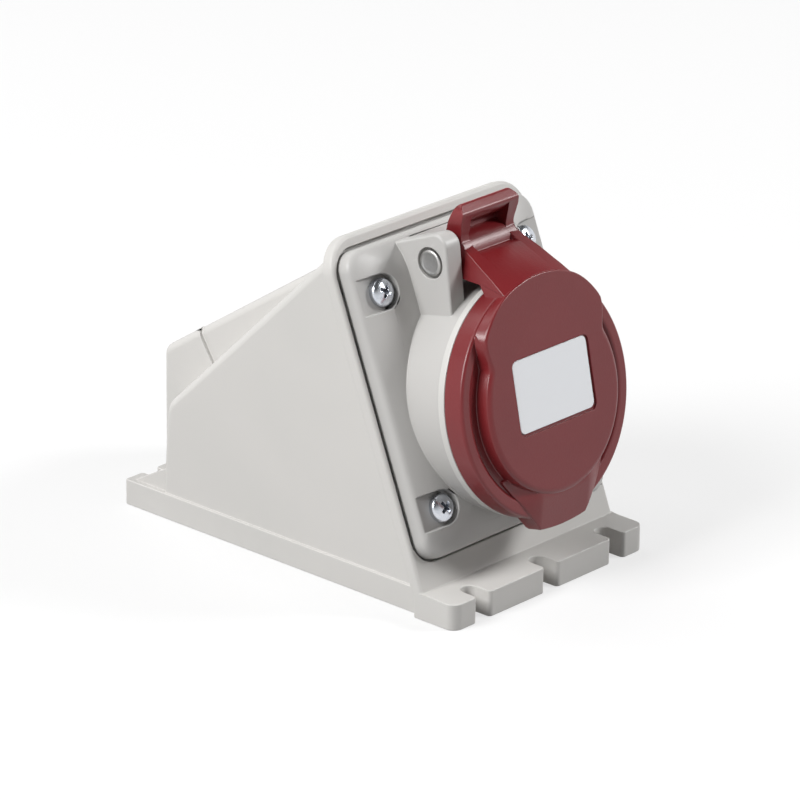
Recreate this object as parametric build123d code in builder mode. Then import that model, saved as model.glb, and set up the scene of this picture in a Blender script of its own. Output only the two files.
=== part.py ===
# Wall-mounting pin and sleeve receptacle with a hinged, sprung lid.
# X runs across the base, Y from the slotted front edge to the cable entry, Z up from the mounting face.
# The origin is the centre of the base's mounting face. All sizes are in millimetres.
import os
from math import cos, radians, sin, sqrt, tan

from build123d import *

os.makedirs("parts", exist_ok=True)

# Base and hood
base_width = 100.0
base_length = 160.0
flange_height = 9.6
side_inset = 3.3
side_step = 0.4
wall = 3.0
tab_corner_radius = 4.0
slot_width = 6.5
slot_pitch = 35.1
front_slot_depth = 9.5
rear_slot_depth = 7.0
slot_mouth_radius = 1.6
hood_rear = 61.0
hood_corner_height = 43.0
hood_corner_radius = 8.0
shoulder_slope = 44.2
shoulder_radius = 3.5
hump_half_width = 34.5
hump_block_half_width = 36.0
hump_rear = 72.0
hump_rear_height = 59.0
hump_slope = 33.4
hump_corner_radius = 5.0
hump_edge_radius = 3.0
hump_block_depth = 17.0
gusset_height = 18.4
gusset_foot = 0.5

# Inclined front face with its rim and ledge
face_tilt = 22.0
face_foot = 14.8
face_length = 124.0
rim_depth = 5.0
rim_corner_radius = 12.0
rim_edge_radius = 1.5
recess_side = 1.8
recess_bottom = 8.9
recess_top = 4.2
recess_depth = 3.0
recess_radius = 9.0
ledge_width = 4.9
ledge_thickness = 4.0
opening_radius = 6.0

# Socket plate
plate_gap = 1.8
plate_radius = 7.2
plate_edge_height = 4.7
plate_crown_height = 8.7
plate_crown_inset = 14.4
plate_shell = 3.0
plate_land = 3.4
gasket_thickness = 1.5
screw_half_pitch_x = 36.6
screw_half_pitch_s = 38.05
screw_pocket_width = 12.6
screw_pocket_floor = 5.2
screw_post_radius = 6.0

# Plate screws and their inserts
screw_diameter = 5.0
screw_head_diameter = 10.0
screw_head_height = 3.8
screw_length = 17.0
screw_clearance = 0.35
cross_length = 5.6
cross_width = 1.3
cross_depth = 2.2
boss_radius = 5.6
boss_depth = 17.0
insert_diameter = 6.6
insert_length = 10.0
insert_fit = 0.05

# Barrel, inclined to the plate
barrel_tilt = 12.0
barrel_height = 58.7
barrel_radius = 40.5
barrel_bore_radius = 35.6
barrel_tube_radius = 38.6
barrel_floor = -13.0
barrel_floor_thickness = 5.0
barrel_floor_hole_radius = 26.0
lip_radius = 42.0
lip_back = 22.1
lip_front = 24.9
nose_radius = 38.0
nose_top = 27.2
keyway_width = 6.0
keyway_depth = 1.5

# Hinge ears and hinge pin
ear_outer = 23.5
ear_thickness = 7.5
ear_top_inset = 1.1
ear_corner_radius = 5.0
ear_edge_radius = 1.0
hinge_out = 19.3
hinge_up = 107.5
pin_diameter = 5.0
pin_fit = 0.05
pin_head_diameter = 9.4
pin_head_thickness = 1.2
pin_counterbore_diameter = 11.0
pin_counterbore_depth = 0.9
pin_overhang = 2.2
clip_diameter = 10.6
clip_thickness = 1.0

# Lid
lid_radius = 42.3
lid_back = 25.2
lid_front = 33.3
lid_skirt_wall = 2.4
lid_edge_radius = 1.2
lid_ceiling = 30.0
channel_inner_radius = 33.9
channel_outer_radius = 37.8
channel_floor = 32.2
platform_radius = 33.3
platform_height = 37.5
platform_edge_radius = 0.8
platform_wall = 2.6
platform_pocket_radius = 31.0
shoulder_height = 24.0
bevel_radius = 39.2
finger_tab_width = 30.0
finger_tab_reach = 45.6
knuckle_gap = 0.4
knuckle_radius = 8.0
spring_bay_half_width = 8.0
spring_bay_radius = 6.3
lever_corner_radius = 4.6
lever_pocket_half_width = 11.4
arm_flare = 5.0
label_width = 38.0
label_height = 25.4
label_thickness = 0.6
label_radius = 2.2
label_up = 4.0
label_recess_depth = 0.8
label_recess_margin = 0.9
seal_inner_radius = 33.8
seal_outer_radius = 38.6
seal_gap = 0.3

# Spring on the hinge pin
spring_radius = 3.35
spring_wire = 1.1
spring_turns = 6
spring_pitch = 1.7

# Contact insert
carrier_radius = 24.5
carrier_front = 22.0
carrier_flange_radius = 34.0
carrier_flange_thickness = 3.4
carrier_front_wall = 2.5
contact_circle_radius = 16.5
contact_count = 5
contact_front = 18.5
contact_rear = -41.0
phase_bore = 6.2
earth_bore = 8.2
sleeve_wall = 1.3
sleeve_gap = 0.3
sleeve_slit = 0.8
sleeve_slit_length = 20.0
sleeve_bore_depth = 36.0
wire_bore_depth = 12.0
block_radius = 25.5
block_rear = -44.0
terminal_screw_diameter = 4.0
terminal_screw_length = 6.5
terminal_screw_place = -34.0
terminal_screw_fit = 0.1
carrier_screw_radius = 30.2
carrier_screw_diameter = 3.5
carrier_screw_head_diameter = 6.4
carrier_screw_head_height = 2.4
carrier_screw_length = 7.0

# Cable gland in the rear wall
gland_height = 28.0
gland_thread_diameter = 24.8
gland_thread_length = 11.0
gland_clearance = 0.2
gland_hex = 29.0
gland_hex_length = 5.0
gland_bore_diameter = 19.0
gland_seal_bore_diameter = 13.0
gland_seal_length = 8.0
gland_nut_length = 12.5
gland_nut_mouth_diameter = 16.0
locknut_hex = 30.0
locknut_length = 4.5

# Reference planes and points
half_width = base_width / 2
half_length = base_length / 2
side_half_width = half_width - side_inset
hood_half_width = side_half_width - side_step
face_cos = cos(radians(face_tilt))
face_sin = sin(radians(face_tilt))
foot_y = face_foot - half_length

face_plane = Plane(
    origin=(0, foot_y, flange_height), x_dir=(1, 0, 0), z_dir=(0, -face_cos, face_sin)
)
side_plane = Plane(
    origin=face_plane.origin, x_dir=(0, -face_cos, face_sin), z_dir=(-1, 0, 0)
)
cross_plane = Plane(
    origin=face_plane.origin, x_dir=(1, 0, 0), z_dir=(0, -face_sin, -face_cos)
)

barrel_origin = face_plane.from_local_coords((0, barrel_height, 0))
barrel_axis = Vector(0, -cos(radians(barrel_tilt)), sin(radians(barrel_tilt)))
barrel_up = Vector(0, sin(radians(barrel_tilt)), cos(radians(barrel_tilt)))
barrel_plane = Plane(origin=barrel_origin, x_dir=(1, 0, 0), z_dir=barrel_axis)
barrel_section = Plane(origin=barrel_origin, x_dir=(1, 0, 0), z_dir=-barrel_up)
turning_axis = Axis(barrel_origin, barrel_axis)


def face_point(out, up):
    """Height above the face and distance up the face, as (Y, Z)."""
    return (
        foot_y - out * face_cos + up * face_sin,
        flange_height + out * face_sin + up * face_cos,
    )


def barrel_to_face(along, up):
    """Distance along the barrel axis and above it, as (out, up) on the face."""
    turn = radians(face_tilt - barrel_tilt)
    return (
        along * cos(turn) + up * sin(turn),
        barrel_height - along * sin(turn) + up * cos(turn),
    )


recess_half_width = half_width - recess_side
recess_length = face_length - recess_bottom - recess_top
recess_middle = recess_bottom + recess_length / 2
plate_half_width = recess_half_width - plate_gap
plate_length = recess_length - 2 * plate_gap
plate_middle = recess_middle
plate_top = plate_middle + plate_length / 2
plate_back = gasket_thickness - recess_depth
screw_points = [
    (side * screw_half_pitch_x, plate_middle + end * screw_half_pitch_s)
    for side in (-1, 1)
    for end in (-1, 1)
]
knuckle_half_width = ear_outer - ear_thickness - knuckle_gap

# Hood: the wedge with its sloping shoulders
rim_back = face_point(-rim_depth / 2, 0)
shoulder_run = tan(radians(shoulder_slope))
hood_peak_up = (
    hood_corner_height + (hood_rear - rim_back[0]) * shoulder_run - rim_back[1]
) / (face_cos + face_sin * shoulder_run)
hood_peak = face_point(-rim_depth / 2, hood_peak_up)
hood_toe = (rim_back[0] - rim_back[1] * face_sin / face_cos, 0)

with BuildPart() as hood_form:
    with BuildSketch(Plane.YZ):
        with BuildLine():
            Polyline(
                hood_toe,
                hood_peak,
                (hood_rear, hood_corner_height),
                (hood_rear, 0),
                close=True,
            )
        make_face()
    extrude(amount=hood_half_width, both=True)
    rear_corner = hood_form.edges().filter_by(Axis.X).sort_by(Axis.Y)[-2:].sort_by(Axis.Z)[-1]
    fillet(rear_corner, radius=hood_corner_radius)
    shoulder_edges = (
        hood_form.edges()
        .filter_by(lambda edge: abs(abs(edge.center().X) - hood_half_width) < 0.01)
        .filter_by(lambda edge: edge.center().Z > hood_corner_height / 2 + flange_height)
        .filter_by(lambda edge: edge.center().Y > rim_back[0] + 40)
    )
    fillet(shoulder_edges, radius=shoulder_radius)

# Hump over the terminal room, with a slightly wider block at its rear
hump_run = tan(radians(hump_slope))
hump_peak_up = (
    hump_rear_height + (hump_rear - rim_back[0]) * hump_run - rim_back[1]
) / (face_cos + face_sin * hump_run)
hump_peak = face_point(-rim_depth / 2, hump_peak_up)
block_top = (
    hump_rear - hump_block_depth,
    hump_rear_height + hump_block_depth * hump_run,
)
block_foot = (block_top[0] - (block_top[1] - flange_height / 2) * hump_run, flange_height / 2)

with BuildPart() as hump_form:
    with BuildSketch(Plane.YZ):
        with BuildLine():
            Polyline(
                (foot_y + face_foot, 0),
                hump_peak,
                (hump_rear, hump_rear_height),
                (hump_rear, 0),
                close=True,
            )
        make_face()
    extrude(amount=hump_half_width, both=True)
    fillet(
        hump_form.edges().filter_by(Axis.X).sort_by(Axis.Y)[-2:].sort_by(Axis.Z)[-1],
        radius=hump_corner_radius,
    )
    fillet(
        hump_form.edges()
        .filter_by(lambda edge: abs(abs(edge.center().X) - hump_half_width) < 0.01)
        .filter_by(lambda edge: edge.center().Z > hump_rear_height / 3)
        .filter_by(lambda edge: edge.center().Y > 0),
        radius=hump_edge_radius,
    )

with BuildPart() as hump_block_form:
    with BuildSketch(Plane.YZ):
        with BuildLine():
            Polyline(
                block_foot,
                block_top,
                (hump_rear, hump_rear_height),
                (hump_rear, flange_height / 2),
                close=True,
            )
        make_face()
    extrude(amount=hump_block_half_width, both=True)
    fillet(
        hump_block_form.edges().filter_by(Axis.X).sort_by(Axis.Y)[-2:].sort_by(Axis.Z)[-1],
        radius=hump_corner_radius,
    )
    fillet(
        hump_block_form.edges()
        .filter_by(lambda edge: abs(abs(edge.center().X) - hump_block_half_width) < 0.01)
        .filter_by(lambda edge: edge.center().Y > block_top[0] + hump_edge_radius)
        .filter_by(lambda edge: edge.center().Z > hump_rear_height / 3),
        radius=hump_edge_radius,
    )

# Rim that frames the inclined face
with BuildPart() as rim_form:
    with BuildSketch(face_plane) as rim_outline:
        with Locations((0, face_length / 2 - rim_depth / 2)):
            Rectangle(base_width, face_length + rim_depth)
        fillet(rim_outline.vertices().group_by(Axis.Y)[-1], radius=rim_corner_radius)
    extrude(amount=-rim_depth)
    fillet(
        rim_form.faces().sort_by(Axis(face_plane.origin, face_plane.z_dir))[-1].edges(),
        radius=rim_edge_radius,
    )

# Room inside the hood and the hump, open at the mounting face
inner_face = recess_depth + ledge_thickness
inner_back = face_point(-inner_face, 0)
inner_toe = (inner_back[0] - inner_back[1] * face_sin / face_cos, -1)
shoulder_drop = wall / cos(radians(shoulder_slope))
hump_drop = wall / cos(radians(hump_slope))
inner_peak_up = (
    hood_corner_height - shoulder_drop + (hood_rear - inner_back[0]) * shoulder_run - inner_back[1]
) / (face_cos + face_sin * shoulder_run)
inner_hump_up = (
    hump_rear_height - hump_drop + (hump_rear - inner_back[0]) * hump_run - inner_back[1]
) / (face_cos + face_sin * hump_run)

with BuildPart() as room_form:
    with BuildSketch(Plane.YZ):
        with BuildLine():
            Polyline(
                inner_toe,
                face_point(-inner_face, inner_peak_up),
                (hood_rear - wall, hood_corner_height - shoulder_drop + wall * shoulder_run),
                (hood_rear - wall, -1),
                close=True,
            )
        make_face()
    extrude(amount=hood_half_width - wall, both=True)
    with BuildSketch(Plane.YZ):
        with BuildLine():
            Polyline(
                (foot_y + 2 * face_foot, -1),
                face_point(-inner_face, inner_hump_up),
                (hump_rear - wall, hump_rear_height - hump_drop + wall * hump_run),
                (hump_rear - wall, -1),
                close=True,
            )
        make_face()
    extrude(amount=hump_half_width - wall, both=True)

# Housing: flange, tabs, hood, hump, rim and bosses in one moulding
with BuildPart() as housing:
    with BuildSketch() as base_outline:
        with Locations((0, 0)):
            Rectangle(2 * side_half_width, base_length)
        with Locations((0, (foot_y - half_length) / 2 + face_foot / 8)):
            Rectangle(base_width, face_foot * 1.25)
        fillet(
            base_outline.vertices().group_by(Axis.Y)[0], radius=tab_corner_radius
        )
        fillet(base_outline.vertices().group_by(Axis.Y)[-1], radius=tab_corner_radius / 4)
    extrude(amount=flange_height)
    add(hood_form.part)
    add(hump_form.part)
    add(hump_block_form.part)
    # gussets between the side walls and the rear corners of the base
    with BuildSketch(Plane.YZ):
        with BuildLine():
            Polyline(
                (hood_rear - wall, flange_height / 2),
                (hood_rear - wall, gusset_height + wall * face_sin),
                (hood_rear, gusset_height),
                (half_length, flange_height + gusset_foot),
                (half_length, flange_height / 2),
                close=True,
            )
        make_face()
    extrude(amount=hood_half_width, both=True)
    with BuildSketch(Plane.XY.offset(flange_height)):
        with Locations((0, (hood_rear + half_length) / 2 + 1)):
            Rectangle(2 * (hood_half_width - wall), half_length - hood_rear + 2)
    extrude(amount=gusset_height, mode=Mode.SUBTRACT)
    add(hump_form.part)
    add(hump_block_form.part)
    add(rim_form.part)
    add(room_form.part, mode=Mode.SUBTRACT)
    with BuildSketch(face_plane) as recess_outline:
        with Locations((0, recess_middle)):
            RectangleRounded(2 * recess_half_width, recess_length, recess_radius)
    extrude(amount=-recess_depth, mode=Mode.SUBTRACT)
    with BuildSketch(face_plane.offset(-recess_depth)) as face_opening:
        with Locations((0, recess_middle)):
            RectangleRounded(
                2 * (recess_half_width - ledge_width),
                recess_length - 2 * ledge_width,
                opening_radius,
            )
    extrude(amount=-2 * ledge_thickness, mode=Mode.SUBTRACT)
    # screw bosses, each tied to the side wall by a web
    with BuildSketch(face_plane.offset(plate_back)):
        with Locations(*screw_points):
            Circle(boss_radius)
    extrude(amount=-boss_depth)
    with BuildSketch(face_plane.offset(-recess_depth)):
        for side in (-1, 1):
            for end in (-1, 1):
                with Locations(
                    (
                        side * (screw_half_pitch_x + hood_half_width) / 2,
                        plate_middle + end * screw_half_pitch_s,
                    )
                ):
                    Rectangle(hood_half_width - screw_half_pitch_x - 1, wall)
    extrude(amount=plate_back - boss_depth + recess_depth)
    with BuildSketch(face_plane.offset(plate_back)):
        with Locations(*screw_points):
            Circle(insert_diameter / 2 + insert_fit)
    extrude(amount=-(boss_depth - wall), mode=Mode.SUBTRACT)
    # open-ended mounting slots, three in front and two behind
    with BuildSketch(Plane.XY.offset(-1)) as slots:
        for column in (-1, 0, 1):
            with Locations((column * slot_pitch, -half_length + front_slot_depth - slot_width / 2)):
                Circle(slot_width / 2)
            with Locations((column * slot_pitch, -half_length)):
                Rectangle(slot_width, 2 * front_slot_depth - slot_width)
        for column in (-1, 1):
            with Locations((column * slot_pitch, half_length - rear_slot_depth + slot_width / 2)):
                Circle(slot_width / 2)
            with Locations((column * slot_pitch, half_length)):
                Rectangle(slot_width, 2 * rear_slot_depth - slot_width)
    extrude(amount=flange_height + 2, mode=Mode.SUBTRACT)
    fillet(
        housing.edges()
        .filter_by(Axis.Z)
        .filter_by(lambda edge: abs(abs(edge.center().Y) - half_length) < 0.01)
        .filter_by(lambda edge: abs(edge.center().X) < slot_pitch + slot_width),
        radius=slot_mouth_radius,
    )
    # hole for the cable gland
    with BuildSketch(Plane.XZ.offset(-hump_rear)):
        with Locations((0, gland_height)):
            Circle(gland_thread_diameter / 2 + gland_clearance)
    extrude(amount=2 * wall, both=True, mode=Mode.SUBTRACT)
housing.part.label = "housing"
export_step(housing.part, "parts/housing.step")

# Gasket between the ledge and the back of the plate
with BuildPart() as plate_gasket:
    with BuildSketch(face_plane.offset(-recess_depth)):
        with Locations((0, plate_middle)):
            RectangleRounded(2 * plate_half_width, plate_length, plate_radius)
            RectangleRounded(
                2 * (recess_half_width - ledge_width),
                recess_length - 2 * ledge_width,
                opening_radius,
                mode=Mode.SUBTRACT,
            )
    extrude(amount=gasket_thickness)
plate_gasket.part.label = "plate_gasket"
export_step(plate_gasket.part, "parts/plate_gasket.step")


def crown_profile(half_span, drop):
    """The plate's convex section: flat crown, then arcs that fall past its edges."""
    crown = plate_crown_height - drop
    fall = plate_crown_height - plate_edge_height
    arc_radius = (plate_crown_inset**2 + fall**2) / (2 * fall)
    reach = plate_crown_inset + plate_gap
    end = crown - arc_radius + sqrt(arc_radius**2 - reach**2)
    flat = half_span - plate_crown_inset
    far = flat + reach
    foot = -recess_depth - wall
    TangentArc((flat, crown), (far, end), tangent=(1, 0))
    TangentArc((-flat, crown), (-far, end), tangent=(-1, 0))
    Polyline((far, end), (far, foot), (-far, foot), (-far, end))
    Line((-flat, crown), (flat, crown))


# Plate: an outline prism trimmed by its two convex sections
plate_side = Plane(
    origin=face_plane.from_local_coords((0, plate_middle, 0)),
    x_dir=(0, face_sin, face_cos),
    z_dir=(1, 0, 0),
)

with BuildPart() as plate_form:
    with BuildSketch(face_plane.offset(plate_back)):
        with Locations((0, plate_middle)):
            RectangleRounded(2 * plate_half_width, plate_length, plate_radius)
    extrude(amount=plate_crown_height + wall)
    with BuildSketch(cross_plane):
        with BuildLine():
            crown_profile(plate_half_width, 0)
        make_face()
    extrude(amount=2 * base_length, both=True, mode=Mode.INTERSECT)
    with BuildSketch(plate_side):
        with BuildLine():
            crown_profile(plate_length / 2, 0)
        make_face()
    extrude(amount=base_width, both=True, mode=Mode.INTERSECT)


# Hollow back of the plate, with solid posts left round the screws
with BuildPart() as plate_hollow:
    with BuildSketch(face_plane.offset(plate_back - 1)):
        with Locations((0, plate_middle)):
            RectangleRounded(
                2 * (plate_half_width - plate_land),
                plate_length - 2 * plate_land,
                plate_radius - plate_land,
            )
        with Locations(*screw_points):
            Circle(screw_post_radius, mode=Mode.SUBTRACT)
    extrude(amount=plate_crown_height + wall)
    with BuildSketch(cross_plane):
        with BuildLine():
            crown_profile(plate_half_width, plate_shell)
        make_face()
    extrude(amount=2 * base_length, both=True, mode=Mode.INTERSECT)
    with BuildSketch(plate_side):
        with BuildLine():
            crown_profile(plate_length / 2, plate_shell)
        make_face()
    extrude(amount=base_width, both=True, mode=Mode.INTERSECT)

# Ears that carry the hinge pin
ear_top = plate_top - ear_top_inset
ear_front_top = (28.0, 109.0)
ear_front_low = (22.0, 86.7)
ear_slope = (ear_front_top[0] - ear_front_low[0]) / (ear_front_top[1] - ear_front_low[1])

with BuildPart() as ear_form:
    with BuildSketch(side_plane.offset(ear_outer - ear_thickness)) as ear_outline:
        with BuildLine():
            Polyline(
                (plate_edge_height - plate_shell, ear_top),
                (ear_front_top[0] + (ear_top - ear_front_top[1]) * ear_slope, ear_top),
                ear_front_low,
                (plate_crown_height - plate_shell, ear_front_low[1]),
                (plate_crown_height - plate_shell, plate_top - plate_crown_inset),
                close=True,
            )
        make_face()
        fillet(ear_outline.vertices().sort_by(Axis.X)[-1], radius=ear_corner_radius)
    extrude(amount=ear_thickness)
    fillet(
        ear_form.edges()
        .filter_by(lambda edge: abs(abs(edge.center().X) - ear_outer + ear_thickness / 2) > 0.01)
        .filter_by(
            lambda edge: face_plane.to_local_coords(edge.center()).Z > plate_crown_height + 0.5
        ),
        radius=ear_edge_radius,
    )
    mirror(about=Plane.YZ)

# Barrel: tube with a lip behind the lid's skirt, a nose, and a floor for the insert
with BuildPart() as socket_barrel:
    with BuildSketch(barrel_section):
        with BuildLine():
            Polyline(
                (barrel_floor_hole_radius, barrel_floor - barrel_floor_thickness),
                (barrel_tube_radius, barrel_floor - barrel_floor_thickness),
                (barrel_tube_radius, -plate_shell),
                (barrel_radius, 0),
                (barrel_radius, lip_back),
                (lip_radius, lip_back),
                (lip_radius, lip_front),
                (nose_radius, lip_front),
                (nose_radius, nose_top),
                (barrel_bore_radius, nose_top),
                (barrel_bore_radius, barrel_floor),
                (barrel_floor_hole_radius, barrel_floor),
                close=True,
            )
        make_face()
    revolve(axis=turning_axis)

# Socket body: plate and ears in one moulding, fused to the barrel
with BuildPart() as socket_body:
    add(plate_form.part)
    add(plate_hollow.part, mode=Mode.SUBTRACT)
    add(ear_form.part)
    with BuildSketch(barrel_plane.offset(barrel_floor - barrel_floor_thickness)):
        Circle(barrel_bore_radius)
    extrude(amount=nose_top - barrel_floor + barrel_floor_thickness, mode=Mode.SUBTRACT)
    add(socket_barrel.part, mode=Mode.SUBTRACT)
    # pockets that run from the screws out to the plate's edge
    with BuildSketch(face_plane.offset(screw_pocket_floor)):
        with Locations(*screw_points):
            Circle(screw_pocket_width / 2)
        for side in (-1, 1):
            for end in (-1, 1):
                with Locations(
                    (
                        side * (screw_half_pitch_x + half_width) / 2,
                        plate_middle + end * screw_half_pitch_s,
                    )
                ):
                    Rectangle(half_width - screw_half_pitch_x, screw_pocket_width)
    extrude(amount=plate_crown_height, mode=Mode.SUBTRACT)
    with BuildSketch(face_plane.offset(plate_back)):
        with Locations(*screw_points):
            Circle(screw_diameter / 2 + screw_clearance)
    extrude(amount=plate_crown_height, mode=Mode.SUBTRACT)
    # hinge pin hole and the shallow seats of its head and its clip
    with BuildSketch(side_plane):
        with Locations((hinge_out, hinge_up)):
            Circle(pin_diameter / 2 + pin_fit)
    extrude(amount=half_width, both=True, mode=Mode.SUBTRACT)
    with BuildSketch(side_plane.offset(ear_outer - pin_counterbore_depth)):
        with Locations((hinge_out, hinge_up)):
            Circle(pin_counterbore_diameter / 2)
    extrude(amount=wall, mode=Mode.SUBTRACT)
socket_body.part.label = "socket_body"
export_step(socket_body.part, "parts/socket_body.step")

# Keyway in the barrel's bore and the holes of the insert's screws
with BuildPart() as keyed_barrel:
    add(socket_barrel.part)
    with BuildSketch(barrel_plane.offset(barrel_floor)):
        with Locations((0, -barrel_bore_radius)):
            Rectangle(keyway_width, 2 * keyway_depth)
    extrude(amount=nose_top - barrel_floor, mode=Mode.SUBTRACT)
    with BuildSketch(barrel_plane.offset(barrel_floor - barrel_floor_thickness)):
        with PolarLocations(carrier_screw_radius, 2):
            Circle(carrier_screw_diameter / 2 + insert_fit)
    extrude(amount=barrel_floor_thickness - 1, mode=Mode.SUBTRACT)
keyed_barrel.part.label = "socket_barrel"
export_step(keyed_barrel.part, "parts/socket_barrel.step")

# Insert that carries the five sleeves, with its flange behind the barrel's floor
contact_places = [-90 + 360 / contact_count * index for index in range(contact_count)]
contact_names = ["contact_earth", "contact_l1", "contact_l2", "contact_l3", "contact_neutral"]
contact_bores = [earth_bore] + [phase_bore] * (contact_count - 1)
flange_front = barrel_floor - barrel_floor_thickness


def contact_point(index, radius):
    """Point at a sleeve's angle, in the plane across the barrel."""
    turn = radians(contact_places[index])
    return (radius * cos(turn), radius * sin(turn))


with BuildPart() as contact_carrier:
    with BuildSketch(barrel_plane.offset(flange_front)):
        Circle(carrier_radius)
    extrude(amount=carrier_front - flange_front)
    fillet(
        contact_carrier.edges()
        .filter_by(GeomType.CIRCLE)
        .sort_by(turning_axis)[-1],
        radius=lid_edge_radius,
    )
    for index, bore in enumerate(contact_bores):
        with BuildSketch(barrel_plane.offset(flange_front)):
            with Locations(contact_point(index, contact_circle_radius)):
                Circle(bore / 2 + sleeve_wall + sleeve_gap)
        extrude(amount=carrier_front - carrier_front_wall - flange_front, mode=Mode.SUBTRACT)
        with BuildSketch(barrel_plane.offset(carrier_front - carrier_front_wall)):
            with Locations(contact_point(index, contact_circle_radius)):
                Circle(bore / 2 + sleeve_gap)
        extrude(amount=carrier_front_wall, mode=Mode.SUBTRACT)
contact_carrier.part.label = "contact_carrier"
export_step(contact_carrier.part, "parts/contact_carrier.step")

# Flange that holds the insert against the back of the barrel's floor
with BuildPart() as carrier_flange:
    with BuildSketch(barrel_plane.offset(flange_front)):
        Circle(carrier_flange_radius)
        for index, bore in enumerate(contact_bores):
            with Locations(contact_point(index, contact_circle_radius)):
                Circle(bore / 2 + sleeve_wall + sleeve_gap, mode=Mode.SUBTRACT)
        with PolarLocations(carrier_screw_radius, 2):
            Circle(carrier_screw_diameter / 2 + sleeve_gap, mode=Mode.SUBTRACT)
    extrude(amount=-carrier_flange_thickness)
carrier_flange.part.label = "carrier_flange"
export_step(carrier_flange.part, "parts/carrier_flange.step")

# Terminal block behind the insert: a chamber and a screw hole for each sleeve
block_front = flange_front - carrier_flange_thickness

with BuildPart() as terminal_block:
    with BuildSketch(barrel_plane.offset(block_rear)):
        Circle(block_radius)
    extrude(amount=block_front - block_rear)
    for index, bore in enumerate(contact_bores):
        with BuildSketch(barrel_plane.offset(block_rear)):
            with Locations(contact_point(index, contact_circle_radius)):
                Circle(bore / 2 + sleeve_wall + sleeve_gap)
        extrude(amount=block_front - block_rear, mode=Mode.SUBTRACT)
    for index in range(contact_count):
        turn = radians(contact_places[index])
        outward = Vector(1, 0, 0) * cos(turn) + barrel_up * sin(turn)
        screw_base = barrel_plane.from_local_coords((0, 0, terminal_screw_place))
        with BuildSketch(
            Plane(
                origin=screw_base + outward * contact_circle_radius,
                x_dir=barrel_axis,
                z_dir=outward,
            )
        ):
            Circle(terminal_screw_diameter / 2 + terminal_screw_fit)
        extrude(amount=block_radius, mode=Mode.SUBTRACT)
terminal_block.part.label = "terminal_block"
export_step(terminal_block.part, "parts/terminal_block.step")

# Sleeves: split at the front for the pins, bored at the rear for the wires
for index, bore in enumerate(contact_bores):
    turn = radians(contact_places[index])
    outward = Vector(1, 0, 0) * cos(turn) + barrel_up * sin(turn)
    sleeve_point = contact_point(index, contact_circle_radius)
    sleeve_axis_point = barrel_plane.from_local_coords((*sleeve_point, terminal_screw_place))
    with BuildPart() as contact:
        with BuildSketch(barrel_plane.offset(contact_rear)):
            with Locations(sleeve_point):
                Circle(bore / 2 + sleeve_wall)
        extrude(amount=contact_front - contact_rear)
        with BuildSketch(barrel_plane.offset(contact_front)):
            with Locations(sleeve_point):
                Circle(bore / 2)
        extrude(amount=-sleeve_bore_depth, mode=Mode.SUBTRACT)
        with BuildSketch(barrel_plane.offset(contact_front)):
            with Locations(sleeve_point):
                Rectangle(sleeve_slit, bore + 4 * sleeve_wall, rotation=contact_places[index])
        extrude(amount=-sleeve_slit_length, mode=Mode.SUBTRACT)
        with BuildSketch(barrel_plane.offset(contact_rear)):
            with Locations(sleeve_point):
                Circle(bore / 2 - sleeve_wall / 2)
        extrude(amount=wire_bore_depth, mode=Mode.SUBTRACT)
        with BuildSketch(Plane(origin=sleeve_axis_point, x_dir=barrel_axis, z_dir=outward)):
            Circle(terminal_screw_diameter / 2 + terminal_screw_fit)
        extrude(amount=bore, mode=Mode.SUBTRACT)
    contact.part.label = contact_names[index]
    export_step(contact.part, f"parts/{contact_names[index]}.step")

# Clamping screws of the terminals, set square to the sleeves
with BuildPart() as terminal_screws:
    for index, bore in enumerate(contact_bores):
        turn = radians(contact_places[index])
        outward = Vector(1, 0, 0) * cos(turn) + barrel_up * sin(turn)
        screw_base = barrel_plane.from_local_coords((0, 0, terminal_screw_place))
        tip_radius = contact_circle_radius + bore / 2 - sleeve_wall
        with BuildSketch(
            Plane(origin=screw_base + outward * tip_radius, x_dir=barrel_axis, z_dir=outward)
        ):
            Circle(terminal_screw_diameter / 2)
        extrude(amount=terminal_screw_length)
        with BuildSketch(
            Plane(
                origin=screw_base + outward * (tip_radius + terminal_screw_length),
                x_dir=barrel_axis,
                z_dir=outward,
            )
        ):
            Rectangle(terminal_screw_diameter + 1, cross_width / 2)
        extrude(amount=-cross_width, mode=Mode.SUBTRACT)
terminal_screws.part.label = "terminal_screws"
export_step(terminal_screws.part, "parts/terminal_screws.step")

# Screws that pull the insert's flange against the barrel's floor
with BuildPart() as carrier_screws:
    with BuildSketch(barrel_plane.offset(block_front)):
        with PolarLocations(carrier_screw_radius, 2):
            Circle(carrier_screw_diameter / 2)
    extrude(amount=carrier_screw_length)
    with BuildSketch(barrel_plane.offset(block_front)):
        with PolarLocations(carrier_screw_radius, 2):
            Circle(carrier_screw_head_diameter / 2)
    extrude(amount=-carrier_screw_head_height)
    with BuildSketch(barrel_plane.offset(block_front - carrier_screw_head_height)):
        with PolarLocations(carrier_screw_radius, 2):
            Rectangle(carrier_screw_head_diameter - 2, cross_width / 2)
            Rectangle(cross_width / 2, carrier_screw_head_diameter - 2)
    extrude(amount=cross_width, mode=Mode.SUBTRACT)
carrier_screws.part.label = "carrier_screws"
export_step(carrier_screws.part, "parts/carrier_screws.step")

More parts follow.
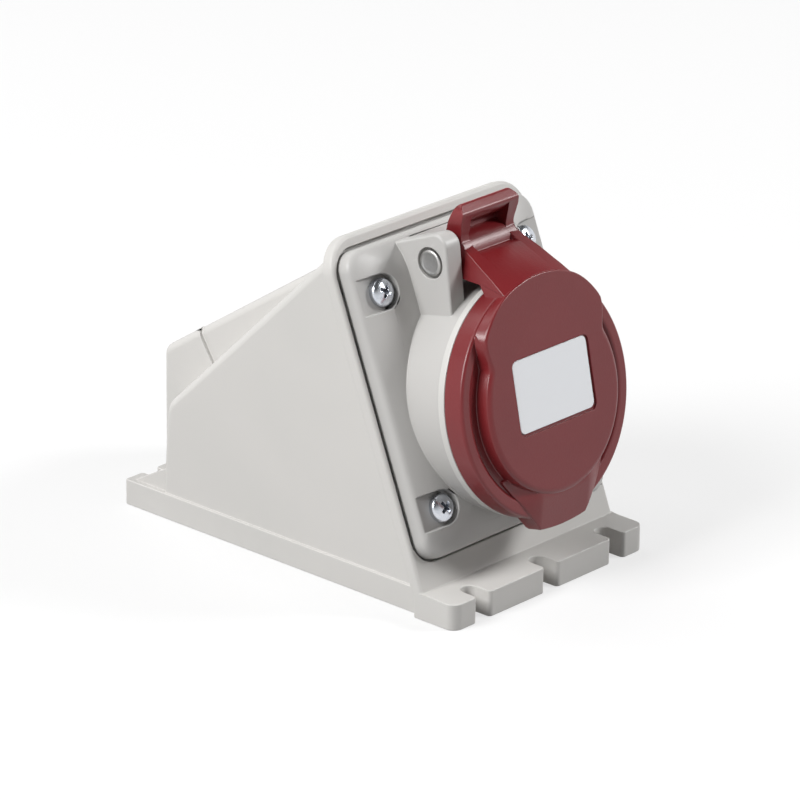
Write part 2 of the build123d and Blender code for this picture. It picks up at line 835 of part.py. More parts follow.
# Pan head screws in the plate's four corners
head_side_height = screw_head_height * 0.45
with BuildPart() as plate_screws:
    for place in screw_points:
        screw_plane = Plane(
            origin=face_plane.from_local_coords((*place, screw_pocket_floor)),
            x_dir=(1, 0, 0),
            z_dir=(0, -face_sin, -face_cos),
        )
        with BuildSketch(screw_plane):
            with BuildLine():
                Polyline(
                    (0, screw_head_height),
                    (0, -screw_length),
                    (screw_diameter / 2 - 0.6, -screw_length),
                    (screw_diameter / 2, -screw_length + 1),
                    (screw_diameter / 2, 0),
                    (screw_head_diameter / 2, 0),
                    (screw_head_diameter / 2, head_side_height),
                )
                RadiusArc(
                    (screw_head_diameter / 2, head_side_height),
                    (0, screw_head_height),
                    -screw_head_diameter * 0.72,
                )
            make_face()
        revolve(axis=Axis(screw_plane.origin, face_plane.z_dir))
    with BuildSketch(face_plane.offset(screw_pocket_floor + screw_head_height)):
        with Locations(*screw_points):
            Rectangle(cross_length, cross_width, rotation=35)
            Rectangle(cross_width, cross_length, rotation=35)
    extrude(amount=-cross_depth, mode=Mode.SUBTRACT)
plate_screws.part.label = "plate_screws"
export_step(plate_screws.part, "parts/plate_screws.step")

# Threaded inserts in the housing's bosses
with BuildPart() as boss_inserts:
    with BuildSketch(face_plane.offset(plate_back - sleeve_gap)):
        with Locations(*screw_points):
            Circle(insert_diameter / 2)
            Circle(screw_diameter / 2 + insert_fit, mode=Mode.SUBTRACT)
    extrude(amount=-insert_length)
boss_inserts.part.label = "boss_inserts"
export_step(boss_inserts.part, "parts/boss_inserts.step")

# Arm and opening lever of the lid, drawn in side view
arm_root = barrel_to_face(platform_height, bevel_radius)
arm_back = barrel_to_face(lid_back, lip_radius + 0.6)
lever_neck = (26.4, 111.5)
lever_nose = (32.5, 119.5)
lever_tip = (28.5, 124.2)
lever_back = (26.0, 124.0)
knuckle_back = (13.4, 112.8)
arm_bend = (34.9, 100.9)
arm_under = (22.0, 100.4)
flare_start = 46.5
flare_end = 40.0

with BuildSketch(side_plane) as arm_profile:
    with BuildLine():
        Polyline(
            arm_root,
            arm_bend,
            lever_neck,
            lever_nose,
            lever_tip,
            lever_back,
            knuckle_back,
            (hinge_out, hinge_up),
            arm_under,
            arm_back,
            barrel_to_face(lid_back + 3, channel_outer_radius),
            barrel_to_face(lid_ceiling + 1, channel_inner_radius),
            barrel_to_face(platform_height, channel_inner_radius),
            close=True,
        )
    make_face()

with BuildPart() as arm_form:
    extrude(arm_profile.sketch, amount=knuckle_half_width, both=True)
    # round the lever's upper corners in front view
    with BuildSketch(face_plane) as lever_outline:
        with Locations((0, lever_tip[1] / 2)):
            Rectangle(2 * knuckle_half_width, lever_tip[1])
        fillet(lever_outline.vertices().group_by(Axis.Y)[-1], radius=lever_corner_radius)
    extrude(amount=base_width, mode=Mode.INTERSECT)
    # thumb pocket in the lever's front
    with BuildSketch(side_plane.offset(-lever_pocket_half_width)):
        with BuildLine():
            Polyline(
                (20.4, 115.0),
                (27.2, 121.2),
                (30.3, 117.6),
                (36.0, 116.0),
                (36.0, 110.0),
                (26.4, 110.6),
                (20.4, 112.0),
                close=True,
            )
        make_face()
    extrude(amount=2 * lever_pocket_half_width, mode=Mode.SUBTRACT)
    with BuildSketch(side_plane.offset(-knuckle_half_width)):
        with Locations((hinge_out, hinge_up)):
            Circle(knuckle_radius)
    extrude(amount=2 * knuckle_half_width)

# Flare where the arm meets the cap, in front of the ears and under the platform's bevel
flare_half_width = knuckle_half_width + arm_flare
bevel_slope = (platform_height - lid_front) / (lid_radius - bevel_radius)

with BuildPart() as flare_form:
    extrude(arm_profile.sketch, amount=flare_half_width, both=True)
    with BuildSketch(barrel_plane.offset(lid_back)):
        with BuildLine():
            TangentArc(
                (knuckle_half_width, flare_start), (flare_half_width, flare_end), tangent=(0, -1)
            )
            Polyline(
                (flare_half_width, flare_end),
                (flare_half_width, channel_inner_radius),
                (-flare_half_width, channel_inner_radius),
                (-flare_half_width, flare_end),
            )
            TangentArc(
                (-knuckle_half_width, flare_start), (-flare_half_width, flare_end), tangent=(0, -1)
            )
            Line((-knuckle_half_width, flare_start), (knuckle_half_width, flare_start))
        make_face()
    extrude(amount=platform_height - lid_back, mode=Mode.INTERSECT)
    with BuildSketch(barrel_section):
        with BuildLine():
            Polyline(
                (0, lid_back),
                (bevel_radius + (platform_height - lid_back) / bevel_slope, lid_back),
                (bevel_radius, platform_height),
                (0, platform_height),
                close=True,
            )
        make_face()
    revolve(axis=turning_axis, mode=Mode.INTERSECT)

# Upper part of the platform, which runs out to the cap's edge with a bevel
with BuildPart() as crown_form:
    with BuildSketch(barrel_section):
        with BuildLine():
            Polyline(
                (0, lid_ceiling + 1),
                (lid_radius - 0.1, lid_ceiling + 1),
                (lid_radius - 0.1, lid_front),
                (bevel_radius, platform_height),
                (0, platform_height),
                close=True,
            )
        make_face()
    revolve(axis=turning_axis)
    with BuildSketch(barrel_plane.offset(lid_ceiling)):
        with Locations((0, shoulder_height - base_width / 2)):
            Rectangle(base_width, base_width)
    extrude(amount=platform_height, mode=Mode.SUBTRACT)

# Lid: cap with a raised platform, a channel round it, arm, lever and finger tab
with BuildPart() as lid:
    with BuildSketch(barrel_section):
        with BuildLine():
            Polyline(
                (0, platform_height),
                (platform_radius - platform_edge_radius, platform_height),
                (platform_radius, platform_height - platform_edge_radius),
                (channel_inner_radius, channel_floor),
                (channel_outer_radius - 0.4, channel_floor),
                (channel_outer_radius, lid_front),
                (lid_radius - lid_edge_radius, lid_front),
            )
            RadiusArc(
                (lid_radius - lid_edge_radius, lid_front),
                (lid_radius, lid_front - lid_edge_radius),
                lid_edge_radius,
            )
            Polyline(
                (lid_radius, lid_front - lid_edge_radius),
                (lid_radius, lid_back),
                (lid_radius - lid_skirt_wall, lid_back),
                (lid_radius - lid_skirt_wall, lid_ceiling),
                (platform_pocket_radius, lid_ceiling),
                (platform_pocket_radius - 1, platform_height - platform_wall),
                (0, platform_height - platform_wall),
                (0, platform_height),
            )
        make_face()
    revolve(axis=turning_axis)
    # the platform widens to the cap's edge above its shoulders
    add(crown_form.part)
    # finger tab under the cap's lower edge
    with BuildSketch(barrel_plane.offset(lid_back)) as tab_outline:
        with BuildLine():
            Polyline(
                (-finger_tab_width / 2, -lid_radius + 3.0),
                (-finger_tab_width / 2 + 4.5, -finger_tab_reach + 0.6),
                (0, -finger_tab_reach),
                (finger_tab_width / 2 - 4.5, -finger_tab_reach + 0.6),
                (finger_tab_width / 2, -lid_radius + 3.0),
                close=True,
            )
        make_face()
    extrude(amount=lid_front - lid_back - 0.6)
    add(arm_form.part)
    add(flare_form.part)
    # clear the barrel's nose again below the arm and the tab
    with BuildSketch(barrel_plane.offset(lid_back)):
        Circle(lid_radius - lid_skirt_wall)
    extrude(amount=lid_ceiling - lid_back, mode=Mode.SUBTRACT)
    # recess of the label plate
    with BuildSketch(barrel_plane.offset(platform_height)):
        with Locations((label_recess_margin / 2, label_up - label_recess_margin / 2)):
            RectangleRounded(
                label_width + label_recess_margin * 1.4,
                label_height + label_recess_margin * 1.4,
                label_radius,
            )
    extrude(amount=-label_recess_depth, mode=Mode.SUBTRACT)
    # bore and spring bay on the hinge line
    with BuildSketch(side_plane.offset(-spring_bay_half_width)):
        with Locations((hinge_out, hinge_up)):
            Circle(spring_bay_radius)
        with Locations((hinge_out, hinge_up - spring_bay_radius)):
            Rectangle(2 * spring_bay_radius, 2 * spring_bay_radius)
    extrude(amount=2 * spring_bay_half_width, mode=Mode.SUBTRACT)
    with BuildSketch(side_plane.offset(-2 * knuckle_half_width)):
        with Locations((hinge_out, hinge_up)):
            Circle(pin_diameter / 2 + pin_fit)
    extrude(amount=4 * knuckle_half_width, mode=Mode.SUBTRACT)
lid.part.label = "lid"
export_step(lid.part, "parts/lid.step")

# Rubber ring under the lid's rim, facing the barrel's nose
with BuildPart() as lid_seal:
    with BuildSketch(barrel_plane.offset(nose_top + seal_gap)):
        Circle(seal_outer_radius)
        Circle(seal_inner_radius, mode=Mode.SUBTRACT)
    extrude(amount=lid_ceiling - nose_top - seal_gap)
lid_seal.part.label = "lid_seal"
export_step(lid_seal.part, "parts/lid_seal.step")

with BuildPart() as lid_label:
    with BuildSketch(barrel_plane.offset(platform_height - label_recess_depth)):
        with Locations((0, label_up)):
            RectangleRounded(label_width, label_height, label_radius)
    extrude(amount=label_thickness)
lid_label.part.label = "lid_label"
export_step(lid_label.part, "parts/lid_label.step")

# Hinge pin with a flat head in one ear and a spring clip on the other
pin_head_back = ear_outer - pin_counterbore_depth
with BuildPart() as hinge_pin:
    with BuildSketch(side_plane.offset(-ear_outer - clip_thickness - pin_overhang / 2)):
        with Locations((hinge_out, hinge_up)):
            Circle(pin_diameter / 2)
    extrude(amount=ear_outer + clip_thickness + pin_overhang / 2 + pin_head_back)
    chamfer(hinge_pin.edges().filter_by(GeomType.CIRCLE).sort_by(Axis.X)[-1], length=0.5)
    with BuildSketch(side_plane.offset(pin_head_back)):
        with Locations((hinge_out, hinge_up)):
            Circle(pin_head_diameter / 2)
    extrude(amount=pin_head_thickness)
    fillet(hinge_pin.edges().filter_by(GeomType.CIRCLE).sort_by(Axis.X)[0], radius=0.4)
hinge_pin.part.label = "hinge_pin"
export_step(hinge_pin.part, "parts/hinge_pin.step")

with BuildPart() as pin_clip:
    with BuildSketch(side_plane.offset(-ear_outer - clip_thickness)):
        with Locations((hinge_out, hinge_up)):
            Circle(clip_diameter / 2)
            Circle(pin_diameter / 2 + pin_fit / 2, mode=Mode.SUBTRACT)
    extrude(amount=clip_thickness)
pin_clip.part.label = "pin_clip"
export_step(pin_clip.part, "parts/pin_clip.step")

# Torsion spring: a coil round the pin, one leg on the plate and one under the arm
spring_length = spring_turns * spring_pitch
hinge_point = side_plane.from_local_coords((hinge_out, hinge_up, 0))
coil_plane = Plane(
    origin=hinge_point + Vector(-spring_length / 2, 0, 0),
    x_dir=face_plane.z_dir,
    z_dir=(1, 0, 0),
)
with BuildPart() as hinge_spring:
    with BuildLine() as coil_path:
        coil = Helix(
            pitch=spring_pitch,
            height=spring_length,
            radius=spring_radius,
            center=coil_plane.origin,
            direction=(1, 0, 0),
        )
    with BuildSketch(Plane(origin=coil @ 0, z_dir=coil % 0)):
        Circle(spring_wire / 2)
    sweep(path=coil_path.wires()[0], is_frenet=True)
hinge_spring.part.label = "hinge_spring"
export_step(hinge_spring.part, "parts/hinge_spring.step")

# Cable gland in the hump's rear wall, its locknut inside the housing
rear_plane = Plane(origin=(0, hump_rear, gland_height), x_dir=(-1, 0, 0), z_dir=(0, 1, 0))

with BuildPart() as gland_body:
    with BuildSketch(rear_plane):
        RegularPolygon(gland_hex / 2, 6, major_radius=False)
    extrude(amount=gland_hex_length)
    with BuildSketch(rear_plane.offset(-gland_thread_length)):
        Circle(gland_thread_diameter / 2)
    extrude(amount=gland_thread_length)
    with BuildSketch(rear_plane.offset(-gland_thread_length)):
        Circle(gland_bore_diameter / 2)
    extrude(amount=gland_thread_length + gland_hex_length, mode=Mode.SUBTRACT)
gland_body.part.label = "gland_body"
export_step(gland_body.part, "parts/gland_body.step")

with BuildPart() as gland_nut:
    with BuildSketch(rear_plane.offset(gland_hex_length)):
        RegularPolygon(gland_hex / 2, 6, major_radius=False)
    extrude(amount=gland_nut_length)
    with BuildSketch(rear_plane.offset(gland_hex_length)):
        Circle(gland_hex / 2)
    extrude(amount=gland_nut_length, taper=12, mode=Mode.INTERSECT)
    with BuildSketch(rear_plane.offset(gland_hex_length)):
        Circle(gland_bore_diameter / 2 + sleeve_gap)
    extrude(amount=gland_seal_length + sleeve_gap, mode=Mode.SUBTRACT)
    with BuildSketch(rear_plane.offset(gland_hex_length)):
        Circle(gland_nut_mouth_diameter / 2)
    extrude(amount=gland_nut_length, mode=Mode.SUBTRACT)
gland_nut.part.label = "gland_nut"
export_step(gland_nut.part, "parts/gland_nut.step")

with BuildPart() as gland_seal:
    with BuildSketch(rear_plane.offset(gland_hex_length)):
        Circle(gland_bore_diameter / 2)
        Circle(gland_seal_bore_diameter / 2, mode=Mode.SUBTRACT)
    extrude(amount=gland_seal_length)
gland_seal.part.label = "gland_seal"
export_step(gland_seal.part, "parts/gland_seal.step")

with BuildPart() as gland_locknut:
    with BuildSketch(rear_plane.offset(-wall)):
        RegularPolygon(locknut_hex / 2, 6, major_radius=False)
        Circle(gland_thread_diameter / 2 + insert_fit, mode=Mode.SUBTRACT)
    extrude(amount=-locknut_length)
gland_locknut.part.label = "gland_locknut"
export_step(gland_locknut.part, "parts/gland_locknut.step")
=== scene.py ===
# Looks of the wall receptacle with its sprung lid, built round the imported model.
# Pieces are modelled in millimetres in the frame that suits them, then brought to metres.
from math import atan2, cos, pi, radians, sin, sqrt, tan

import bmesh
import bpy
from mathutils import Matrix, Vector
from mathutils.kdtree import KDTree


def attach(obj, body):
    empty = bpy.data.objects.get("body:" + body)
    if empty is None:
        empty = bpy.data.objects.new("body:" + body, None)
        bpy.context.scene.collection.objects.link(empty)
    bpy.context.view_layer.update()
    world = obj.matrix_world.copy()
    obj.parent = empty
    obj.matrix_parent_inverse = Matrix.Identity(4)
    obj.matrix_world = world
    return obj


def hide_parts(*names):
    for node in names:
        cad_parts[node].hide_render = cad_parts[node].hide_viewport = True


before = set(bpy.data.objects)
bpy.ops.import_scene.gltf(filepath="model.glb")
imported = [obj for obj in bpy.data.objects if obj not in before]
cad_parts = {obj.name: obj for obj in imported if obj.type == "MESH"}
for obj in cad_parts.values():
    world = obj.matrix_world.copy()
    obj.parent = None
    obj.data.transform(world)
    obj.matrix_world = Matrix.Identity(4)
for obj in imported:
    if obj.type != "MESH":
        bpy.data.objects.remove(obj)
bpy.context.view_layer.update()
print("stage: frame loaded")

mm = 0.001
lathe = 144
mergeGap = 0.002
smoothAngle = 35
pinHole = 2.55
faceTilt = 22.0
barrelTilt = 12.0
barrelHeight = 58.7
faceFoot = Vector((0, -65.2, 9.6))
faceOut = Vector((0, -cos(radians(faceTilt)), sin(radians(faceTilt))))
faceUp = Vector((0, sin(radians(faceTilt)), cos(radians(faceTilt))))
pinOut = 19.3
pinUp = 107.5
barrelTurn = radians(faceTilt - barrelTilt)


def faceSpot(out, up):
    # (Y, Z) of a point that far out of the inclined face and up it
    spot = faceFoot + faceOut * out + faceUp * up
    return (spot.y, spot.z)


def toBarrel(out, up):
    # the same point as (up, along) in the barrel's frame
    rise = up - barrelHeight
    along = out * cos(barrelTurn) - rise * sin(barrelTurn)
    return (out * sin(barrelTurn) + rise * cos(barrelTurn), along)


frames = {
    "world": Matrix.Identity(4),
    "face": Matrix.Translation(faceFoot) @ Matrix.Rotation(radians(90 - faceTilt), 4, "X"),
    "barrel": Matrix.Translation(faceFoot + faceUp * barrelHeight)
    @ Matrix.Rotation(radians(90 - barrelTilt), 4, "X"),
    "pin": Matrix.Translation(faceFoot + faceOut * pinOut + faceUp * pinUp)
    @ Matrix.Rotation(radians(-90), 4, "Y"),
    "gland": Matrix.Translation((0, 72, 28)) @ Matrix.Rotation(radians(-90), 4, "X"),
}


# selecting and shaping
def clearSelection():
    if bpy.context.mode != "OBJECT":
        bpy.ops.object.mode_set(mode="OBJECT")
    bpy.ops.object.select_all(action="DESELECT")


def pick(piece):
    clearSelection()
    piece.select_set(True)
    bpy.context.view_layer.objects.active = piece


def openEdit(piece, kind="VERT"):
    pick(piece)
    bpy.ops.object.mode_set(mode="EDIT")
    bpy.ops.mesh.select_mode(type=kind)
    bpy.ops.mesh.select_all(action="SELECT")


def closeEdit():
    bpy.ops.object.mode_set(mode="OBJECT")


def mendMesh(piece):
    openEdit(piece)
    bpy.ops.mesh.remove_doubles(threshold=mergeGap)
    bpy.ops.mesh.delete_loose(use_verts=True, use_edges=True, use_faces=False)
    bpy.ops.mesh.select_all(action="SELECT")
    bpy.ops.mesh.normals_make_consistent(inside=False)
    closeEdit()


def addPrism(name, outline, start, end, across="z"):
    # a flat outline pulled out along Z, or along X for one drawn in side view
    clearSelection()
    bpy.ops.mesh.primitive_circle_add(vertices=len(outline), radius=1, fill_type="NGON")
    piece = bpy.context.object
    piece.name = name
    for vertex, (a, b) in zip(piece.data.vertices, outline):
        vertex.co = (a, b, start) if across == "z" else (start, a, b)
    piece.data.update()
    reach = (0, 0, end - start) if across == "z" else (end - start, 0, 0)
    openEdit(piece, "FACE")
    bpy.ops.mesh.extrude_region_move(TRANSFORM_OT_translate={"value": reach})
    closeEdit()
    mendMesh(piece)
    return piece


def addTurned(name, section, steps=lathe):
    # a closed section of (radius, height) spun round Z
    clearSelection()
    bpy.ops.mesh.primitive_circle_add(vertices=len(section), radius=1, fill_type="NOTHING")
    piece = bpy.context.object
    piece.name = name
    for vertex, (r, h) in zip(piece.data.vertices, section):
        vertex.co = (r, 0, h)
    piece.data.update()
    openEdit(piece)
    bpy.ops.mesh.spin(steps=steps, angle=2 * pi, center=(0, 0, 0), axis=(0, 0, 1))
    closeEdit()
    mendMesh(piece)
    return piece


def addLoft(name, rings):
    # rings of equal count, each pulled out of the one before, closed at both ends
    clearSelection()
    count = len(rings[0])
    bpy.ops.mesh.primitive_circle_add(vertices=count, radius=1, fill_type="NGON")
    piece = bpy.context.object
    piece.name = name
    for vertex, spot in zip(piece.data.vertices, rings[0]):
        vertex.co = spot
    piece.data.update()
    openEdit(piece, "FACE")
    for before, ring in zip(rings, rings[1:]):
        bpy.ops.mesh.extrude_region_move(TRANSFORM_OT_translate={"value": (0, 0, 0)})
        shape = bmesh.from_edit_mesh(piece.data)
        places = KDTree(count)
        for i, spot in enumerate(before):
            places.insert(spot, i)
        places.balance()
        for vertex in [v for v in shape.verts if v.select]:
            vertex.co = ring[places.find(vertex.co)[1]]
        bmesh.update_edit_mesh(piece.data)
    closeEdit()
    mendMesh(piece)
    return piece


def combine(target, tool, operation="UNION"):
    pick(target)
    modifier = target.modifiers.new("combine", "BOOLEAN")
    modifier.operation = operation
    modifier.object = tool
    modifier.solver = "MANIFOLD"
    bpy.ops.object.modifier_apply(modifier=modifier.name)
    pick(tool)
    bpy.ops.object.delete()
    return target


def bevelWhere(piece, chosen, width, segments=4):
    openEdit(piece, "EDGE")
    bpy.ops.mesh.select_all(action="DESELECT")
    shape = bmesh.from_edit_mesh(piece.data)
    for edge in shape.edges:
        edge.select_set(bool(chosen(edge.verts[0].co, edge.verts[1].co)))
    bmesh.update_edit_mesh(piece.data)
    bpy.ops.mesh.bevel(offset=width, segments=segments, affect="EDGES")
    closeEdit()


def roundEdges(piece, width, segments, angle, clamp):
    modifier = piece.modifiers.new("soften", "BEVEL")
    modifier.width = width
    modifier.segments = segments
    modifier.limit_method = "ANGLE"
    modifier.angle_limit = radians(angle)
    modifier.use_clamp_overlap = clamp
    modifier.miter_outer = "MITER_SHARP" if clamp else "MITER_ARC"
    bpy.ops.object.modifier_apply(modifier=modifier.name)


def soften(piece, width, segments=2, angle=32, splits=()):
    # cleans what the combining left, then rounds every sharp edge a little;
    # the splits keep a face from running all round an opening
    openEdit(piece)
    bpy.ops.mesh.remove_doubles(threshold=0.004)
    bpy.ops.mesh.dissolve_limited(angle_limit=radians(0.4))
    for along in splits:
        bpy.ops.mesh.select_all(action="SELECT")
        bpy.ops.mesh.bisect(plane_co=(0, along, 0), plane_no=(0, 1, 0))
    closeEdit()
    roundEdges(piece, width, segments, angle, False)


def roundCorners(points, radii, steps=7):
    # the outline with each corner that has a radius turned into an arc
    result = []
    count = len(points)
    for i, (here, radius) in enumerate(zip(points, radii)):
        corner = Vector(here)
        back = (Vector(points[i - 1]) - corner).normalized()
        ahead = (Vector(points[(i + 1) % count]) - corner).normalized()
        half = back.angle(ahead) / 2
        if radius <= 0 or half > radians(89.5):
            result.append((corner.x, corner.y))
            continue
        middle = corner + (back + ahead).normalized() * (radius / sin(half))
        first = corner + back * (radius / tan(half)) - middle
        last = corner + ahead * (radius / tan(half)) - middle
        turn = atan2(first.x * last.y - first.y * last.x, first.dot(last))
        for step in range(steps + 1):
            spot = middle + Matrix.Rotation(turn * step / steps, 2) @ first
            result.append((spot.x, spot.y))
    return result


def boxOutline(halfX, halfY, radius, centre=(0, 0), steps=7):
    x, y = centre
    corners = [(x - halfX, y - halfY), (x + halfX, y - halfY),
               (x + halfX, y + halfY), (x - halfX, y + halfY)]
    return roundCorners(corners, [radius] * 4, steps)


def disc(radius, centre=(0, 0), count=48):
    return [
        (centre[0] + radius * cos(2 * pi * i / count), centre[1] + radius * sin(2 * pi * i / count))
        for i in range(count)
    ]


def settle(piece, frameName, size=1.0):
    # from its modelling frame into the object's, and the place applied to the mesh
    piece.matrix_world = Matrix.Scale(size, 4) @ frames[frameName]
    pick(piece)
    bpy.ops.object.transform_apply(location=True, rotation=True, scale=True)
    return piece


def toMetres(piece, frameName):
    settle(piece, frameName)
    settle(piece, "world", mm)


def finishPiece(piece, material, body, nodes=()):
    pick(piece)
    bpy.ops.object.shade_smooth_by_angle(angle=radians(smoothAngle))
    modifier = piece.modifiers.new("evenShading", "WEIGHTED_NORMAL")
    modifier.keep_sharp = True
    bpy.ops.object.modifier_apply(modifier=modifier.name)
    piece.data.materials.clear()
    piece.data.materials.append(material)
    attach(piece, body)
    for node in nodes:
        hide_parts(node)


refining = dict(merge=0.000004, flat=1.0, width=0.0003, segments=2, angle=30)


def refined(node, name, material, body):
    # a copy of a CAD node with its facets joined up and its edges rounded
    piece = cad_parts[node].copy()
    piece.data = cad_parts[node].data.copy()
    piece.name = name
    for key in list(piece.keys()):
        del piece[key]
    piece.parent = None
    bpy.context.scene.collection.objects.link(piece)
    openEdit(piece)
    bpy.ops.mesh.remove_doubles(threshold=refining["merge"])
    bpy.ops.mesh.dissolve_limited(angle_limit=radians(refining["flat"]))
    closeEdit()
    roundEdges(piece, refining["width"], refining["segments"], refining["angle"], True)
    finishPiece(piece, material, body, [node])


# materials
def fillInputs(tree, node, values):
    for key, value in values.items():
        if isinstance(value, bpy.types.NodeSocket):
            tree.links.new(value, node.inputs[key])
        else:
            node.inputs[key].default_value = value
    return node


def addNode(tree, kind, values=None, **settings):
    node = tree.nodes.new(kind)
    for key, value in settings.items():
        setattr(node, key, value)
    return fillInputs(tree, node, values or {})


def joined(tree, operation, first, second):
    return addNode(tree, "ShaderNodeMath", {0: first, 1: second}, operation=operation).outputs[0]


def scaled(tree, value, factor):
    return joined(tree, "MULTIPLY", value, factor)


def ranged(tree, value, low, high, start=0.0, end=1.0):
    return addNode(tree, "ShaderNodeMapRange", {"Value": value, "From Min": start, "From Max": end,
                                                "To Min": low, "To Max": high}).outputs[0]


def newGroup(name, inputs, outputs):
    tree = bpy.data.node_groups.new(name, "ShaderNodeTree")
    for label, kind, value in inputs:
        socket = tree.interface.new_socket(name=label, in_out="INPUT", socket_type=kind)
        if value is not None:
            socket.default_value = value
    for label, kind in outputs:
        tree.interface.new_socket(name=label, in_out="OUTPUT", socket_type=kind)
    return tree, tree.nodes.new("NodeGroupInput").outputs, tree.nodes.new("NodeGroupOutput")


def makeMouldTexture():
    # spark-eroded mould grain, slow colour drift, and flow streaks of moulded plastic
    tree, given, out = newGroup(
        "mouldTexture",
        [
            ("Vector", "NodeSocketVector", None),
            ("Grain Scale", "NodeSocketFloat", 1500.0),
            ("Drift Scale", "NodeSocketFloat", 18.0),
        ],
        [("Grain", "NodeSocketFloat"), ("Drift", "NodeSocketFloat"), ("Sheen", "NodeSocketFloat")],
    )
    place, grainScale = given["Vector"], given["Grain Scale"]
    fine = addNode(tree, "ShaderNodeTexNoise",
                   {"Vector": place, "Scale": grainScale, "Detail": 3.0, "Roughness": 0.62})
    pits = addNode(tree, "ShaderNodeTexVoronoi", {"Vector": place, "Scale": grainScale})
    drift = addNode(tree, "ShaderNodeTexNoise",
                    {"Vector": place, "Scale": given["Drift Scale"], "Detail": 2.5, "Distortion": 0.6})
    drawn = addNode(tree, "ShaderNodeMapping", {"Vector": place, "Scale": (1.0, 0.35, 2.6)})
    streak = addNode(tree, "ShaderNodeTexNoise",
                     {"Vector": drawn.outputs["Vector"], "Scale": 55.0, "Detail": 4.0,
                      "Distortion": 0.8})
    grain = addNode(tree, "ShaderNodeMath",
                    {0: fine.outputs["Fac"], 1: pits.outputs["Distance"], 2: 0.2},
                    operation="MULTIPLY_ADD")
    sheen = joined(tree, "ADD", streak.outputs["Fac"], drift.outputs["Fac"])
    fillInputs(tree, out, {"Grain": grain.outputs[0], "Drift": drift.outputs["Fac"],
                           "Sheen": scaled(tree, sheen, 0.5)})
    return tree


def makeWearDustAndShade():
    # rubbed edges from the shape's own corners, and a mask of the creases from ambient occlusion: dust
    # in part, and painted shade in part, where the creases are coloured darker
    tree, given, out = newGroup(
        "wearDustAndShade",
        [
            ("Vector", "NodeSocketVector", None),
            ("Crease Width", "NodeSocketFloat", 0.003),
            ("Edge Start", "NodeSocketFloat", 0.53),
        ],
        [("Edge", "NodeSocketFloat"), ("DustAndShade", "NodeSocketFloat")],
    )
    corner = addNode(tree, "ShaderNodeNewGeometry")
    patchy = addNode(tree, "ShaderNodeTexNoise",
                     {"Vector": given["Vector"], "Scale": 160.0, "Detail": 3.0}).outputs["Fac"]
    edge = ranged(tree, corner.outputs["Pointiness"], 0.0, 1.0, given["Edge Start"], 0.62)
    # painted shade: where ambient occlusion finds a crease closed in, the colour is darkened, made
    # patchy like dust
    crease = addNode(tree, "ShaderNodeAmbientOcclusion", {"Distance": given["Crease Width"]},
                     samples=6, only_local=True)
    closed = ranged(tree, crease.outputs["AO"], 0.0, 1.0, 0.9, 0.35)
    fillInputs(tree, out, {"Edge": scaled(tree, edge, patchy), "DustAndShade": scaled(tree, closed, patchy)})
    return tree


def makeMetalSkin():
    # turning rings, fine scratches and plating clouds of small metal parts
    tree, given, out = newGroup(
        "metalSkin",
        [("Vector", "NodeSocketVector", None), ("Scratch Scale", "NodeSocketFloat", 900.0)],
        [("Scratches", "NodeSocketFloat"), ("Clouds", "NodeSocketFloat")],
    )
    stretched = addNode(tree, "ShaderNodeMapping",
                        {"Vector": given["Vector"], "Scale": (1.0, 0.12, 0.12)})
    scratch = addNode(tree, "ShaderNodeTexNoise",
                      {"Vector": stretched.outputs["Vector"], "Scale": given["Scratch Scale"],
                       "Detail": 4.0})
    clouds = addNode(tree, "ShaderNodeTexNoise",
                     {"Vector": given["Vector"], "Scale": 420.0, "Detail": 3.0, "Distortion": 1.2})
    fillInputs(tree, out, {"Scratches": scratch.outputs["Fac"], "Clouds": clouds.outputs["Fac"]})
    return tree


mouldTexture = makeMouldTexture()
wearDustAndShade = makeWearDustAndShade()
metalSkin = makeMetalSkin()


def startMaterial(name):
    material = bpy.data.materials.new(name)
    material.use_nodes = True
    tree = material.node_tree
    tree.nodes.clear()
    shader = addNode(tree, "ShaderNodeBsdfPrincipled")
    output = addNode(tree, "ShaderNodeOutputMaterial", {"Surface": shader.outputs["BSDF"]})
    output.location = (400, 0)
    coords = addNode(tree, "ShaderNodeTexCoord").outputs["Object"]
    return material, tree, shader, coords


def useGroup(tree, group, values):
    node = tree.nodes.new("ShaderNodeGroup")
    node.node_tree = group
    return fillInputs(tree, node, values).outputs


def mixColour(tree, first, second, amount):
    # amount is a socket; first and second are sockets or colours
    node = tree.nodes.new("ShaderNodeMix")
    node.data_type = "RGBA"
    for socket, value in ((node.inputs[6], first), (node.inputs[7], second)):
        if isinstance(value, bpy.types.NodeSocket):
            tree.links.new(value, socket)
        else:
            socket.default_value = (*value, 1)
    tree.links.new(amount, node.inputs[0])
    return node.outputs[2]


